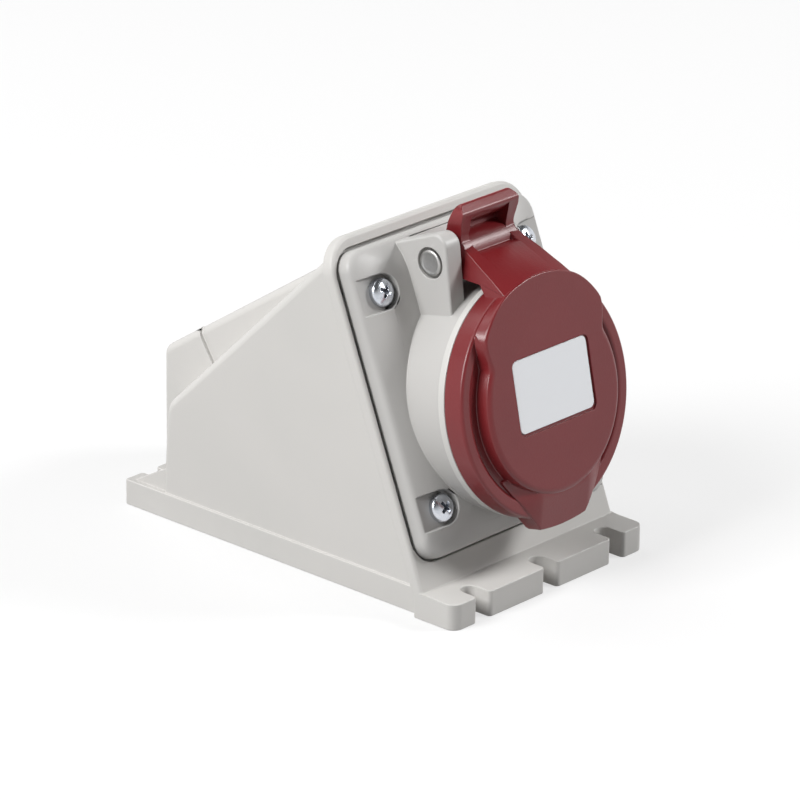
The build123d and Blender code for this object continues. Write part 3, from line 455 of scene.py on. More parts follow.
def plastic(name, look):
    material, tree, shader, coords = startMaterial(name)
    texture = useGroup(tree, mouldTexture,
                       {"Vector": coords, "Grain Scale": look["grainScale"],
                        "Drift Scale": look["driftScale"]})
    edgeAndCrease = useGroup(tree, wearDustAndShade, {"Vector": coords, "Crease Width": look["creaseWidth"]})
    drift = ranged(tree, texture["Drift"], 0.0, 1.0, 0.3, 0.7)
    body = mixColour(tree, look["colour"], look["driftColour"], drift)
    rubbed = mixColour(tree, body, look["edgeColour"], scaled(tree, edgeAndCrease["Edge"], look["edgeAmount"]))
    # painted shade with some dust: the creases take the darker crease colour, a paler dust tint only on
    # the black seal rubber
    creaseDustShade = scaled(tree, edgeAndCrease["DustAndShade"], look["creaseAmount"])
    dustyAndShaded = mixColour(tree, rubbed, look["creaseColour"], creaseDustShade)
    tree.links.new(dustyAndShaded, shader.inputs["Base Color"])
    tree.links.new(ranged(tree, texture["Sheen"], look["roughLow"], look["roughHigh"], 0.35, 0.65),
                   shader.inputs["Roughness"])
    bump = addNode(tree, "ShaderNodeBump",
                   {"Height": texture["Grain"], "Strength": look["grainStrength"],
                    "Distance": look["grainDepth"]})
    tree.links.new(bump.outputs["Normal"], shader.inputs["Normal"])
    shader.inputs["IOR"].default_value = look.get("ior", 1.5)
    return material


def metal(name, look):
    material, tree, shader, coords = startMaterial(name)
    skin = useGroup(tree, metalSkin, {"Vector": coords, "Scratch Scale": look["scratchScale"]})
    edgeAndCrease = useGroup(tree, wearDustAndShade, {"Vector": coords, "Crease Width": 0.0012})
    clouds = ranged(tree, skin["Clouds"], 0.0, 1.0, 0.35, 0.65)
    body = mixColour(tree, look["colour"], look["cloudColour"], clouds)
    # painted shade with some dust: the creases take the dark crease colour
    creaseDustShade = scaled(tree, edgeAndCrease["DustAndShade"], look["creaseAmount"])
    dustyAndShaded = mixColour(tree, body, look["creaseColour"], creaseDustShade)
    tree.links.new(dustyAndShaded, shader.inputs["Base Color"])
    tree.links.new(ranged(tree, skin["Scratches"], look["roughLow"], look["roughHigh"], 0.3, 0.7),
                   shader.inputs["Roughness"])
    bump = addNode(tree, "ShaderNodeBump",
                   {"Height": skin["Scratches"], "Strength": look["scratchStrength"],
                    "Distance": 0.00004})
    tree.links.new(bump.outputs["Normal"], shader.inputs["Normal"])
    shader.inputs["Metallic"].default_value = 1.0
    return material


# creaseColour, here and in the metals below, paints shade into the creases; only the black seal rubber's
# is paler, as dust
plasticLooks = {
    "housingPlastic": dict(
        colour=(0.585, 0.57, 0.55), driftColour=(0.56, 0.55, 0.53), edgeColour=(0.66, 0.65, 0.63),
        creaseColour=(0.30, 0.29, 0.27), edgeAmount=0.45, creaseAmount=0.5, creaseWidth=0.0025,
        grainScale=2200.0, driftScale=14.0, roughLow=0.42, roughHigh=0.50, grainStrength=0.25,
        grainDepth=0.00006),
    "socketPlastic": dict(
        colour=(0.50, 0.49, 0.475), driftColour=(0.475, 0.467, 0.455), edgeColour=(0.62, 0.61, 0.59),
        creaseColour=(0.22, 0.21, 0.20), edgeAmount=0.45, creaseAmount=0.55, creaseWidth=0.0025,
        grainScale=2000.0, driftScale=16.0, roughLow=0.38, roughHigh=0.47, grainStrength=0.25,
        grainDepth=0.00006),
    "lipPlastic": dict(
        colour=(0.60, 0.59, 0.57), driftColour=(0.57, 0.56, 0.54), edgeColour=(0.68, 0.67, 0.65),
        creaseColour=(0.42, 0.41, 0.38), edgeAmount=0.3, creaseAmount=0.4, creaseWidth=0.0012,
        grainScale=2000.0, driftScale=24.0, roughLow=0.36, roughHigh=0.44, grainStrength=0.2,
        grainDepth=0.00005),
    "insertPlastic": dict(
        colour=(0.62, 0.60, 0.54), driftColour=(0.59, 0.57, 0.51), edgeColour=(0.68, 0.66, 0.61),
        creaseColour=(0.25, 0.24, 0.21), edgeAmount=0.3, creaseAmount=0.6, creaseWidth=0.003,
        grainScale=1800.0, driftScale=30.0, roughLow=0.45, roughHigh=0.55, grainStrength=0.2,
        grainDepth=0.00005),
    "lidPlastic": dict(
        colour=(0.175, 0.012, 0.015), driftColour=(0.155, 0.010, 0.013), edgeColour=(0.34, 0.04, 0.05),
        creaseColour=(0.07, 0.006, 0.008), edgeAmount=0.5, creaseAmount=0.5, creaseWidth=0.002,
        grainScale=1300.0, driftScale=22.0, roughLow=0.30, roughHigh=0.40, grainStrength=0.4,
        grainDepth=0.00008, ior=1.52),
    "gasketRubber": dict(
        colour=(0.10, 0.096, 0.09), driftColour=(0.12, 0.115, 0.108), edgeColour=(0.16, 0.16, 0.15),
        creaseColour=(0.05, 0.048, 0.045), edgeAmount=0.4, creaseAmount=0.5, creaseWidth=0.002,
        grainScale=1700.0, driftScale=60.0, roughLow=0.6, roughHigh=0.75, grainStrength=0.3,
        grainDepth=0.00008),
    "labelPlastic": dict(
        colour=(0.93, 0.945, 0.975), driftColour=(0.92, 0.935, 0.965), edgeColour=(0.95, 0.95, 0.97),
        creaseColour=(0.4, 0.4, 0.42), edgeAmount=0.3, creaseAmount=0.3, creaseWidth=0.001,
        grainScale=2600.0, driftScale=30.0, roughLow=0.36, roughHigh=0.44, grainStrength=0.12,
        grainDepth=0.00004),
    "sealRubber": dict(
        colour=(0.022, 0.022, 0.023), driftColour=(0.03, 0.03, 0.031), edgeColour=(0.06, 0.06, 0.06),
        creaseColour=(0.09, 0.088, 0.084), edgeAmount=0.5, creaseAmount=0.5, creaseWidth=0.002,
        grainScale=1700.0, driftScale=60.0, roughLow=0.6, roughHigh=0.75, grainStrength=0.4,
        grainDepth=0.00008),
    "glandPlastic": dict(
        colour=(0.36, 0.355, 0.345), driftColour=(0.34, 0.335, 0.325), edgeColour=(0.45, 0.45, 0.44),
        creaseColour=(0.12, 0.12, 0.115), edgeAmount=0.5, creaseAmount=0.6, creaseWidth=0.002,
        grainScale=1900.0, driftScale=40.0, roughLow=0.42, roughHigh=0.52, grainStrength=0.3,
        grainDepth=0.00006),
}
metalLooks = {
    "zincSteel": dict(
        colour=(0.66, 0.68, 0.72), cloudColour=(0.58, 0.61, 0.67), creaseColour=(0.08, 0.08, 0.085),
        creaseAmount=0.7, roughLow=0.16, roughHigh=0.30, scratchScale=1500.0, scratchStrength=0.3),
    "contactBrass": dict(
        colour=(0.60, 0.38, 0.12), cloudColour=(0.50, 0.31, 0.10), creaseColour=(0.10, 0.06, 0.02),
        creaseAmount=0.7, roughLow=0.22, roughHigh=0.36, scratchScale=1300.0, scratchStrength=0.3),
    "pinMetal": dict(
        colour=(0.46, 0.455, 0.445), cloudColour=(0.40, 0.395, 0.385),
        creaseColour=(0.07, 0.07, 0.07), creaseAmount=0.7, roughLow=0.36, roughHigh=0.50,
        scratchScale=1100.0, scratchStrength=0.4),
    "springSteel": dict(
        colour=(0.33, 0.33, 0.34), cloudColour=(0.26, 0.26, 0.27), creaseColour=(0.05, 0.05, 0.05),
        creaseAmount=0.6, roughLow=0.28, roughHigh=0.40, scratchScale=1600.0, scratchStrength=0.3),
}
skins = {name: plastic(name, look) for name, look in plasticLooks.items()}
skins.update({name: metal(name, look) for name, look in metalLooks.items()})
print("stage: materials")

# housing
housing = dict(
    halfWidth=50.0, sideHalf=47.25, hoodHalf=46.3, halfLength=80.0, flange=9.6, wall=3.0,
    hoodRear=61.0, hoodCorner=43.0, shoulderSlope=44.2, shoulderRadius=3.5,
    humpHalf=34.5, blockHalf=36.0, humpRear=72.0, humpTop=59.0, humpSlope=33.4, blockDepth=17.0,
    rimDepth=5.0, rimLength=124.0, rimCorner=12.0, recessHalf=48.2, recessLow=8.9, recessHigh=119.8,
    recessDepth=3.0, recessCorner=9.0, ledge=4.9, slotHalf=3.25, slotPitch=35.1, frontSlot=9.5,
    rearSlot=7.0, mouth=1.6, screwX=36.6, screwUp=38.05, bossRadius=5.6, insertRadius=3.35,
    glandHole=12.6, gussetInset=1.15, sunk=4.8, soften=0.42, splits=(-61.2, 59.5),
)


def addSlot(column, end, depth):
    # an open-ended slot with a round inner end and a rounded mouth
    half = housing["slotHalf"]
    mouth = housing["mouth"]
    edge = end * housing["halfLength"]
    inner = end * (housing["halfLength"] - depth + half)
    outline = []
    for step in range(13):
        angle = pi * step / 12
        outline.append((column + half * cos(angle), inner - end * half * sin(angle)))
    for side in (-1, 1):
        arc = []
        for step in range(7):
            angle = pi / 2 * step / 6
            x = half + mouth - mouth * cos(angle)
            y = housing["halfLength"] - mouth + mouth * sin(angle)
            arc.append((column + side * x, end * y))
        arc.append((column + side * (half + mouth), end * (housing["halfLength"] + 3)))
        outline += arc if side == -1 else arc[::-1]
    return addPrism("slotTool", outline, -2, housing["flange"] + 2)


def buildHousing():
    h = housing
    half, side, end = h["halfWidth"], h["sideHalf"], h["halfLength"]
    # foot plate with its wider front tabs
    outline = [(-half, -end), (half, -end), (half, -61.5), (side, -60.9), (side, end), (-side, end),
               (-side, -60.9), (-half, -61.5)]
    outline = roundCorners(outline, [4, 4, 0.5, 0.3, 1, 1, 0.3, 0.5])
    shell = addPrism("housingShell", outline, 0, h["flange"])
    # hood: wedge with sloping shoulders
    run = tan(radians(h["shoulderSlope"]))
    back = faceSpot(-h["rimDepth"] / 2, 0)
    slopeUp = cos(radians(faceTilt)) + sin(radians(faceTilt)) * run
    peakUp = (h["hoodCorner"] + (h["hoodRear"] - back[0]) * run - back[1]) / slopeUp
    toe = (back[0] - back[1] * tan(radians(faceTilt)) + 0.5, 0.5)
    outline = [toe, faceSpot(-h["rimDepth"] / 2, peakUp), (h["hoodRear"], h["hoodCorner"]),
               (h["hoodRear"], 0.5)]
    outline = roundCorners(outline, [0, 0, 8, 0], 10)
    hood = addPrism("hood", outline, -h["hoodHalf"], h["hoodHalf"], "x")
    bevelWhere(hood, lambda a, b: abs(abs(a.x) - h["hoodHalf"]) < 0.01 and abs(a.x - b.x) < 0.01
               and (a.z + b.z) / 2 > 31 and (a.y + b.y) / 2 > -22, h["shoulderRadius"], 6)
    combine(shell, hood)
    # hump over the terminal room and the wider block at its rear
    run = tan(radians(h["humpSlope"]))
    slopeUp = cos(radians(faceTilt)) + sin(radians(faceTilt)) * run
    peakUp = (h["humpTop"] + (h["humpRear"] - back[0]) * run - back[1]) / slopeUp
    outline = [(-46, 0.5), faceSpot(-h["rimDepth"] / 2, peakUp), (h["humpRear"], h["humpTop"]),
               (h["humpRear"], 0.5)]
    outline = roundCorners(outline, [0, 0, 5, 0], 8)
    hump = addPrism("hump", outline, -h["humpHalf"], h["humpHalf"], "x")
    bevelWhere(hump, lambda a, b: abs(abs(a.x) - h["humpHalf"]) < 0.01 and abs(a.x - b.x) < 0.01
               and (a.z + b.z) / 2 > 19.7 and (a.y + b.y) / 2 > 0, 3.0, 5)
    combine(shell, hump)
    top = (h["humpRear"] - h["blockDepth"], h["humpTop"] + h["blockDepth"] * run)
    outline = [(top[0] - (top[1] - h["sunk"]) * run, h["sunk"]), top,
               (h["humpRear"], h["humpTop"]), (h["humpRear"], h["sunk"])]
    outline = roundCorners(outline, [0, 0, 5, 0], 8)
    block = addPrism("block", outline, -h["blockHalf"], h["blockHalf"], "x")
    bevelWhere(block, lambda a, b: abs(abs(a.x) - h["blockHalf"]) < 0.01 and abs(a.x - b.x) < 0.01
               and (a.z + b.z) / 2 > 19.7 and (a.y + b.y) / 2 > top[0] + 3, 3.0, 5)
    combine(shell, block)
    # gussets in line with the side walls
    outline = [(58, h["sunk"]), (58, 20.2), (end - 1.2, 8.6), (end - 1.2, h["sunk"])]
    inset = h["gussetInset"]
    for start in (inset - h["hoodHalf"], h["hoodHalf"] - h["wall"] - inset):
        combine(shell, addPrism("gusset", outline, start, start + h["wall"], "x"))
    # rim round the inclined face
    outline = [(-half, -5), (half, -5), (half, h["rimLength"]), (-half, h["rimLength"])]
    outline = roundCorners(outline, [0, 0, h["rimCorner"], h["rimCorner"]], 14)
    rim = addPrism("rim", outline, -h["rimDepth"], 0)
    bevelWhere(rim, lambda a, b: abs(a.z - b.z) < 0.01 and a.z > -0.01 and max(a.y, b.y) > -4.9, 1.5, 5)
    bevelWhere(rim, lambda a, b: abs(a.z - b.z) < 0.01 and a.z < 0.01 - h["rimDepth"]
               and max(a.y, b.y) > -4.9, 0.9, 4)
    combine(shell, settle(rim, "face"))
    # the room inside, open underneath
    inner = h["recessDepth"] + 4.0
    back = faceSpot(-inner, 0)
    shoulderRun = tan(radians(h["shoulderSlope"]))
    drop = h["wall"] / cos(radians(h["shoulderSlope"]))
    peakUp = (h["hoodCorner"] - drop + (h["hoodRear"] - back[0]) * shoulderRun - back[1]) / (
        cos(radians(faceTilt)) + sin(radians(faceTilt)) * shoulderRun)
    rear = h["hoodRear"] - h["wall"]
    outline = [(back[0] - (back[1] + 1) * tan(radians(faceTilt)), -1), faceSpot(-inner, peakUp),
               (rear, h["hoodCorner"] - drop + h["wall"] * shoulderRun), (rear, -1)]
    combine(shell, addPrism("room", roundCorners(outline, [0, 0, 6, 0]), h["wall"] - h["hoodHalf"],
                            h["hoodHalf"] - h["wall"], "x"), "DIFFERENCE")
    drop = h["wall"] / cos(radians(h["humpSlope"]))
    peakUp = (h["humpTop"] - drop + (h["humpRear"] - back[0]) * run - back[1]) / slopeUp
    rear = h["humpRear"] - h["wall"]
    outline = [(-35.6, -1), faceSpot(-inner, peakUp), (rear, h["humpTop"] - drop + h["wall"] * run),
               (rear, -1)]
    combine(shell, addPrism("humpRoom", roundCorners(outline, [0, 0, 4, 0]), h["wall"] - h["humpHalf"],
                            h["humpHalf"] - h["wall"], "x"), "DIFFERENCE")
    # recess and opening of the face
    middle = (h["recessLow"] + h["recessHigh"]) / 2
    long = (h["recessHigh"] - h["recessLow"]) / 2
    recess = addPrism("recess", boxOutline(h["recessHalf"], long, h["recessCorner"], (0, middle), 10),
                      -h["recessDepth"], 4)
    combine(shell, settle(recess, "face"), "DIFFERENCE")
    outline = boxOutline(h["recessHalf"] - h["ledge"], long - h["ledge"], 6, (0, middle))
    opening = addPrism("opening", outline, -12, 1)
    combine(shell, settle(opening, "face"), "DIFFERENCE")
    # screw bosses tied to the side walls, and their bores
    for across in (-1, 1):
        for along in (-1, 1):
            spot = (across * h["screwX"], middle + along * h["screwUp"])
            boss = addPrism("boss", disc(h["bossRadius"], spot), -18.5, -1.5)
            combine(shell, settle(boss, "face"))
            web = addPrism("web", boxOutline(4.6, 1.5, 0.3, (across * 41.6, spot[1]), 2), -18.5, -3.02)
            combine(shell, settle(web, "face"))
            bore = addPrism("bore", disc(h["insertRadius"], spot), -15.5, -1)
            combine(shell, settle(bore, "face"), "DIFFERENCE")
    for column in (-1, 0, 1):
        combine(shell, addSlot(column * h["slotPitch"], -1, h["frontSlot"]), "DIFFERENCE")
    for column in (-1, 1):
        combine(shell, addSlot(column * h["slotPitch"], 1, h["rearSlot"]), "DIFFERENCE")
    hole = addPrism("glandHole", disc(h["glandHole"]), -6, 4)
    combine(shell, settle(hole, "gland"), "DIFFERENCE")
    soften(shell, h["soften"], 3, splits=h["splits"])
    settle(shell, "world", mm)
    finishPiece(shell, skins["housingPlastic"], "base", ["housing"])


buildHousing()
print("stage: housing")

# socket body: plate, barrel and ears
socket = dict(
    plateHalf=47.1, plateLong=54.35, plateMiddle=64.35, plateCorner=7.2, edgeHeight=4.7, crown=8.7,
    crownInset=14.4, edgeRound=2.1, barrelRadius=40.5, lipRadius=42.0, lipBack=22.1, lipFront=24.9,
    noseRadius=38.0, noseTop=27.2, bore=35.6, tube=38.6, floor=-13.0, floorHole=26.0,
    earOuter=23.5, earWidth=7.5, farEarInner=15.9, farEarOuter=18.6, earTop=116.9,
    screwX=36.6, screwUp=38.05, pocketHalf=6.3, pocketEnd=56, pocketFloor=5.2, soften=0.35,
)


def plateRing(inset, height, steps=8):
    radius = socket["plateCorner"] + inset * 0.25
    outline = boxOutline(socket["plateHalf"] - inset, socket["plateLong"] - inset, radius,
                         (0, socket["plateMiddle"]), steps)
    return [(x, y, height) for x, y in outline]


def plateHeight(inset):
    fall = socket["crown"] - socket["edgeHeight"]
    arc = (socket["crownInset"] ** 2 + fall**2) / (2 * fall)
    reach = max(0.0, socket["crownInset"] - inset)
    return socket["crown"] - arc + sqrt(arc**2 - reach**2)


def buildSocket():
    s = socket
    rings = [plateRing(0, -1.5), plateRing(0, s["edgeHeight"] - s["edgeRound"])]
    start = Vector((0, s["edgeHeight"] - s["edgeRound"]))
    top = Vector((s["edgeRound"] * 0.85, plateHeight(s["edgeRound"] * 0.85)))
    bend = Vector((0, s["edgeHeight"]))
    for step in range(1, 6):
        t = step / 6
        spot = start * (1 - t) ** 2 + bend * 2 * t * (1 - t) + top * t**2
        rings.append(plateRing(spot.x, spot.y))
    for step in range(13):
        inset = top.x + (s["crownInset"] - top.x) * step / 12
        rings.append(plateRing(inset, plateHeight(inset)))
    body = addLoft("socketBody", rings)
    # hollow back
    hollows = (("hollow", 4.1, 4, -3, 1.4), ("hollowTop", 11.7, 8, 1.3, 5.2))
    for name, inset, radius, start, end in hollows:
        outline = boxOutline(s["plateHalf"] - inset, s["plateLong"] - inset, radius,
                             (0, s["plateMiddle"]))
        combine(body, addPrism(name, outline, start, end), "DIFFERENCE")
    for across in (-1, 1):
        for along in (-1, 1):
            spot = (across * s["screwX"], s["plateMiddle"] + along * s["screwUp"])
            combine(body, addPrism("post", disc(6, spot), -1.5, 4.5))
    # ears
    outline = roundCorners(
        [(s["earTop"], 1.7), (s["earTop"], 30.12), (86.7, 22.0), (86.7, 5.7), (103.6, 5.7)],
        [0, 5.0, 1.5, 0, 0], 9)
    ear = addPrism("ear", outline, -s["earOuter"], s["earWidth"] - s["earOuter"], "x")
    soften(ear, 0.9, 4, 50)
    combine(body, ear)
    # the far ear stands behind the lid's arm
    outline = roundCorners([(114.0, 1.7), (113.4, 23.4), (86.7, 21.0), (86.7, 5.7), (103.6, 5.7)],
                           [0, 5.0, 1.5, 0, 0], 9)
    ear = addPrism("farEar", outline, s["farEarInner"], s["farEarOuter"], "x")
    soften(ear, 0.5, 4, 50)
    combine(body, ear)
    # pockets of the screws, open towards the sides
    for across in (-1, 1):
        for along in (-1, 1):
            x, up, half = s["screwX"], s["plateMiddle"] + along * s["screwUp"], s["pocketHalf"]
            angles = [pi * (i / 16 - 0.5) for i in range(17)]
            outline = [(across * (x - half * cos(angle)), up + half * sin(angle)) for angle in angles]
            outline += [(across * s["pocketEnd"], up + half), (across * s["pocketEnd"], up - half)]
            combine(body, addPrism("pocket", outline, s["pocketFloor"], 20), "DIFFERENCE")
            combine(body, addPrism("screwHole", disc(2.85, (across * x, up)), -3, 8), "DIFFERENCE")
    settle(body, "face")
    # barrel with its lip and nose
    wide, lip, nose, bore = s["barrelRadius"], s["lipRadius"], s["noseRadius"], s["bore"]
    back, front, top, floor = s["lipBack"], s["lipFront"], s["noseTop"], s["floor"]
    section = [(s["floorHole"], -18), (s["tube"], -18), (s["tube"], -3), (wide, 0),
               (wide, back - 0.3), (wide + 0.3, back), (lip - 0.4, back), (lip - 0.1, back + 0.15),
               (lip, back + 0.5), (lip, front - 0.6), (lip - 0.15, front - 0.2), (lip - 0.6, front),
               (nose + 0.3, front), (nose, front + 0.3), (nose, top - 0.6), (nose - 0.15, top - 0.2),
               (nose - 0.6, top), (bore + 0.6, top), (bore + 0.15, top - 0.2), (bore, top - 0.7),
               (bore, floor + 0.4), (bore - 0.4, floor), (s["floorHole"], floor)]
    barrel = addTurned("barrel", section)
    settle(barrel, "barrel")
    tool = addTurned("boreTool", [(0, -16), (bore, -16), (bore, 20), (0, 20)])
    combine(body, settle(tool, "barrel"), "DIFFERENCE")
    combine(body, barrel)
    keyway = addPrism("keyway", boxOutline(3.0, 1.5, 0.4, (0, -bore), 3), floor, 30)
    combine(body, settle(keyway, "barrel"), "DIFFERENCE")
    # the pin's hole, the seat of its head, and two small holes in the barrel's foot
    hole = addPrism("pinHole", disc(pinHole), -60, 60)
    combine(body, settle(hole, "pin"), "DIFFERENCE")
    seat = addPrism("headSeat", disc(5.5, count=64), s["earOuter"] - 1.8, 30)
    combine(body, settle(seat, "pin"), "DIFFERENCE")
    for across in (-1, 1):
        hole = addPrism("flangeHole", disc(1.8, (across * 30.2, 0), 24), -19, -14)
        combine(body, settle(hole, "barrel"), "DIFFERENCE")
    soften(body, s["soften"], 3)
    settle(body, "world", mm)
    finishPiece(body, skins["socketPlastic"], "base", ["socket_body", "socket_barrel"])


buildSocket()
# the paler ring behind the lid
lip = addTurned("barrelLip", [(40.7, 22.05), (41.75, 22.0), (42.1, 22.35), (42.15, 22.8), (42.15, 24.4),
                              (42.0, 24.8), (41.6, 25.0), (40.7, 25.0)])
toMetres(lip, "barrel")
finishPiece(lip, skins["lipPlastic"], "base")
print("stage: socket body")

# lid: cap, platform, arm, lever and finger tab
lidSizes = dict(
    ceiling=30.0, inside=39.9, fadeStart=62, fadeRun=16, crownStart=64, crownRun=42, crownGrow=3.6,
    armStart=42.6, flareHalf=17.5, neckHalf=13.4, leverCorner=5.0, pocketHalf=9.3, pocketDraft=0.05,
    knuckle=8.0, bayHalf=8.0, bayRadius=6.3, tabRoot=23.0, tabReach=45.5, tabFlat=11.5, tabTop=36.6,
    tabFall=3.5, tabUnder=25.4, soften=0.22,
)


def eased(amount):
    part = min(1, max(0, amount))
    return part * part * (3 - 2 * part)


def platformRing(height, low, high):
    # outline of the platform: a circle below, running out to the cap's edge above the shoulders
    d = lidSizes
    ring = []
    for i in range(lathe):
        angle = 2 * pi * i / lathe
        fromTop = abs(pi - abs((angle - pi / 2) % (2 * pi) - pi))
        fade = eased((radians(d["fadeStart"]) - fromTop) / radians(d["fadeRun"]))
        crown = eased((radians(d["crownStart"]) - fromTop) / radians(d["crownRun"]))
        radius = low + (high - low) * fade + d["crownGrow"] * (height - 33) / 4 * crown
        ring.append((radius * cos(angle), radius * sin(angle), height))
    return ring


def armSection(x):
    # side view of arm and lever; its foot follows the platform's round edge
    start = sqrt(lidSizes["armStart"] ** 2 - x * x)
    spots = [(25.4, 110.6), (31.5, 120.2), (29.8, 124.2), (27.8, 123.6), (20.4, 115.4), (13.4, 112.8),
             (19.3, 107.5), (22.0, 100.4)]
    side = [(start, 37.0)] + [toBarrel(*spot) for spot in spots]
    side += [(42.6, 25.3), (37.8, 28.2), (start - 8, 31.0), (start - 8, 37.0)]
    side = roundCorners(side, [0, 4, 1.4, 1.2, 1.0, 6, 2, 0, 1, 0, 0, 0, 0], 6)
    return [(x, a, b) for a, b in side]


def buildArm():
    d = lidSizes
    arm = addLoft("arm", [armSection(x) for x in range(-24, 25, 2)])
    rise = (124.4 - barrelHeight) * cos(barrelTurn) + 30 * sin(barrelTurn)
    right = [(d["flareHalf"] + 1, 30), (d["flareHalf"], 37.4), (15.5, 47), (14.2, 52.5),
             (d["neckHalf"], 57.5), (14.6, 63.4), (14.2, rise)]
    front = right + [(-x, u) for x, u in reversed(right)]
    radii = [0, 6, 14, 12, 7, 6, d["leverCorner"]]
    front = roundCorners(front, radii + radii[::-1], 8)
    combine(arm, addPrism("armFront", front, -10, 60), "INTERSECT")
    # thumb pocket: a ledge facing the user, the hollow above it and the chamfer under the rim
    pocket = [(27.6, 106.4), (25.0, 107.9), (23.6, 112.2), (21.9, 113.0), (22.7, 116.5), (27.8, 117.7),
              (31.7, 119.6), (36.0, 119.0), (36.0, 104.0)]
    pocket = roundCorners([toBarrel(*spot) for spot in pocket], [0, 0.8, 0.6, 1.2, 1.4, 0.5, 0, 0, 0], 5)
    half = d["pocketHalf"]
    tool = addPrism("pocket", pocket, -half, half, "x")
    for vertex in tool.data.vertices:
        vertex.co.x *= 1 + d["pocketDraft"] * max(0, vertex.co.z - 14) / half
    combine(arm, tool, "DIFFERENCE")
    outline = disc(d["knuckle"], toBarrel(pinOut, pinUp), 64)
    combine(arm, addPrism("knuckle", outline, 0.02 - d["neckHalf"], d["neckHalf"] - 0.02, "x"))
    return arm


def tabSection(x):
    # side view of the finger tab that far from the middle; its sides fall away to the cap's edge
    d = lidSizes
    across, flat, root, under = abs(x), d["tabFlat"], d["tabRoot"], d["tabUnder"]
    if across < flat:
        reach = d["tabReach"] - (across / flat) ** 2
    else:
        reach = d["tabReach"] - 1 - (across - flat) * 1.32
    fall = d["tabFall"] * eased((across - 11) / 13)
    spots = []
    for step in range(9):
        u = root + (reach - 0.7 - root) * step / 8
        spots.append((-u, d["tabTop"] - fall - max(0, u - 33) * 0.3))
    low = spots[-1][1]
    spots += [(0.25 - reach, low - 0.25), (-reach, low - 0.8), (-reach, 27.2), (-reach + 0.5, 26.0),
              (-reach + 1.4, under), (0.5 - root, under), (0.5 - root, 31)]
    return [(x, a, b) for a, b in spots]


def buildTab():
    # finger tab: a ramp down from the platform, narrowing below the cap
    places = (0, 3, 6, 9, lidSizes["tabFlat"], 13, 15, 17, 19, 21, 23, 25, 27)
    return addLoft("tab", [tabSection(x) for x in [-x for x in places[:0:-1]] + list(places)])


def buildLid():
    d = lidSizes
    inside, ceiling = d["inside"], d["ceiling"]
    section = [(0, 32.2), (36.9, 32.2), (37.2, 32.3), (37.45, 32.6), (37.75, 32.95), (38.2, 33.2),
               (38.9, 33.3), (41.1, 33.3), (41.56, 33.21), (41.95, 32.95), (42.21, 32.56), (42.3, 32.1),
               (42.3, 25.6), (42.18, 25.3), (41.9, 25.2), (40.2, 25.2), (inside, 25.5),
               (inside, ceiling), (31, ceiling), (30, 31.2), (0, 31.2)]
    cap = addTurned("lidCap", section)
    # each ring's height, its radius below and its radius above the shoulders
    rings = ((30.6, 34.2, 41.9), (32.0, 34.1, 41.95), (32.5, 33.9, 42.0), (33.3, 33.75, 41.9),
             (36.2, 33.4, 39.9), (36.7, 33.1, 39.55), (37.1, 32.6, 39.2), (37.35, 32.0, 38.8),
             (37.5, 31.2, 38.3))
    combine(cap, addLoft("platform", [platformRing(*ring) for ring in rings]))
    combine(cap, addTurned("pocketBack", [(0, 29), (30.9, 29), (30, 34.9), (0, 34.9)]), "DIFFERENCE")
    combine(cap, buildTab())
    combine(cap, buildArm())
    # clear the barrel's nose again, then the label's recess
    combine(cap, addPrism("nose", disc(inside, count=lathe), 20, ceiling), "DIFFERENCE")
    outline = boxOutline(19.63, 13.33, 2.4, (0.45, 3.55))
    combine(cap, addPrism("labelSeat", outline, 36.7, 40), "DIFFERENCE")
    # spring bay and bore on the hinge line
    pinSpot = toBarrel(pinOut, pinUp)
    bay = addPrism("bay", disc(d["bayRadius"], pinSpot, 48), -d["bayHalf"], d["bayHalf"], "x")
    combine(cap, bay, "DIFFERENCE")
    low = (pinSpot[0] - d["bayRadius"], pinSpot[1])
    slot = addPrism("bayMouth", boxOutline(6.28, 6.28, 0.5, low, 2), -d["bayHalf"], d["bayHalf"], "x")
    combine(cap, slot, "DIFFERENCE")
    combine(cap, addPrism("bore", disc(pinHole, pinSpot), -30, 30, "x"), "DIFFERENCE")
    soften(cap, d["soften"], 2, 40)
    toMetres(cap, "barrel")
    finishPiece(cap, skins["lidPlastic"], "lid", ["lid"])


buildLid()
print("stage: lid")

# label plate, seal
label = addPrism("labelPlate", boxOutline(19, 12.7, 2.2, (0, 4)), 36.7, 37.3)
soften(label, 0.15, 3)
toMetres(label, "barrel")
finishPiece(label, skins["labelPlastic"], "lid", ["lid_label"])

seal = addTurned("sealRing", [(33.8, 27.9), (34.2, 27.5), (35.2, 27.5), (35.6, 27.9), (36.0, 28.1),
                              (36.6, 28.1), (37.0, 27.8), (37.4, 27.5), (38.2, 27.5), (38.6, 27.9),
                              (38.6, 30), (33.8, 30)])
toMetres(seal, "barrel")
finishPiece(seal, skins["sealRubber"], "lid", ["lid_seal"])

# fasteners
screwSizes = dict(
    head=5.0, brim=1.7, height=3.8, shank=2.5, length=17.0, threads=10, pitch=1.3, threadDepth=0.45,
    cross=2.8, crossHalf=0.65, crossDepth=2.3, turn=35, turnStep=23,
)


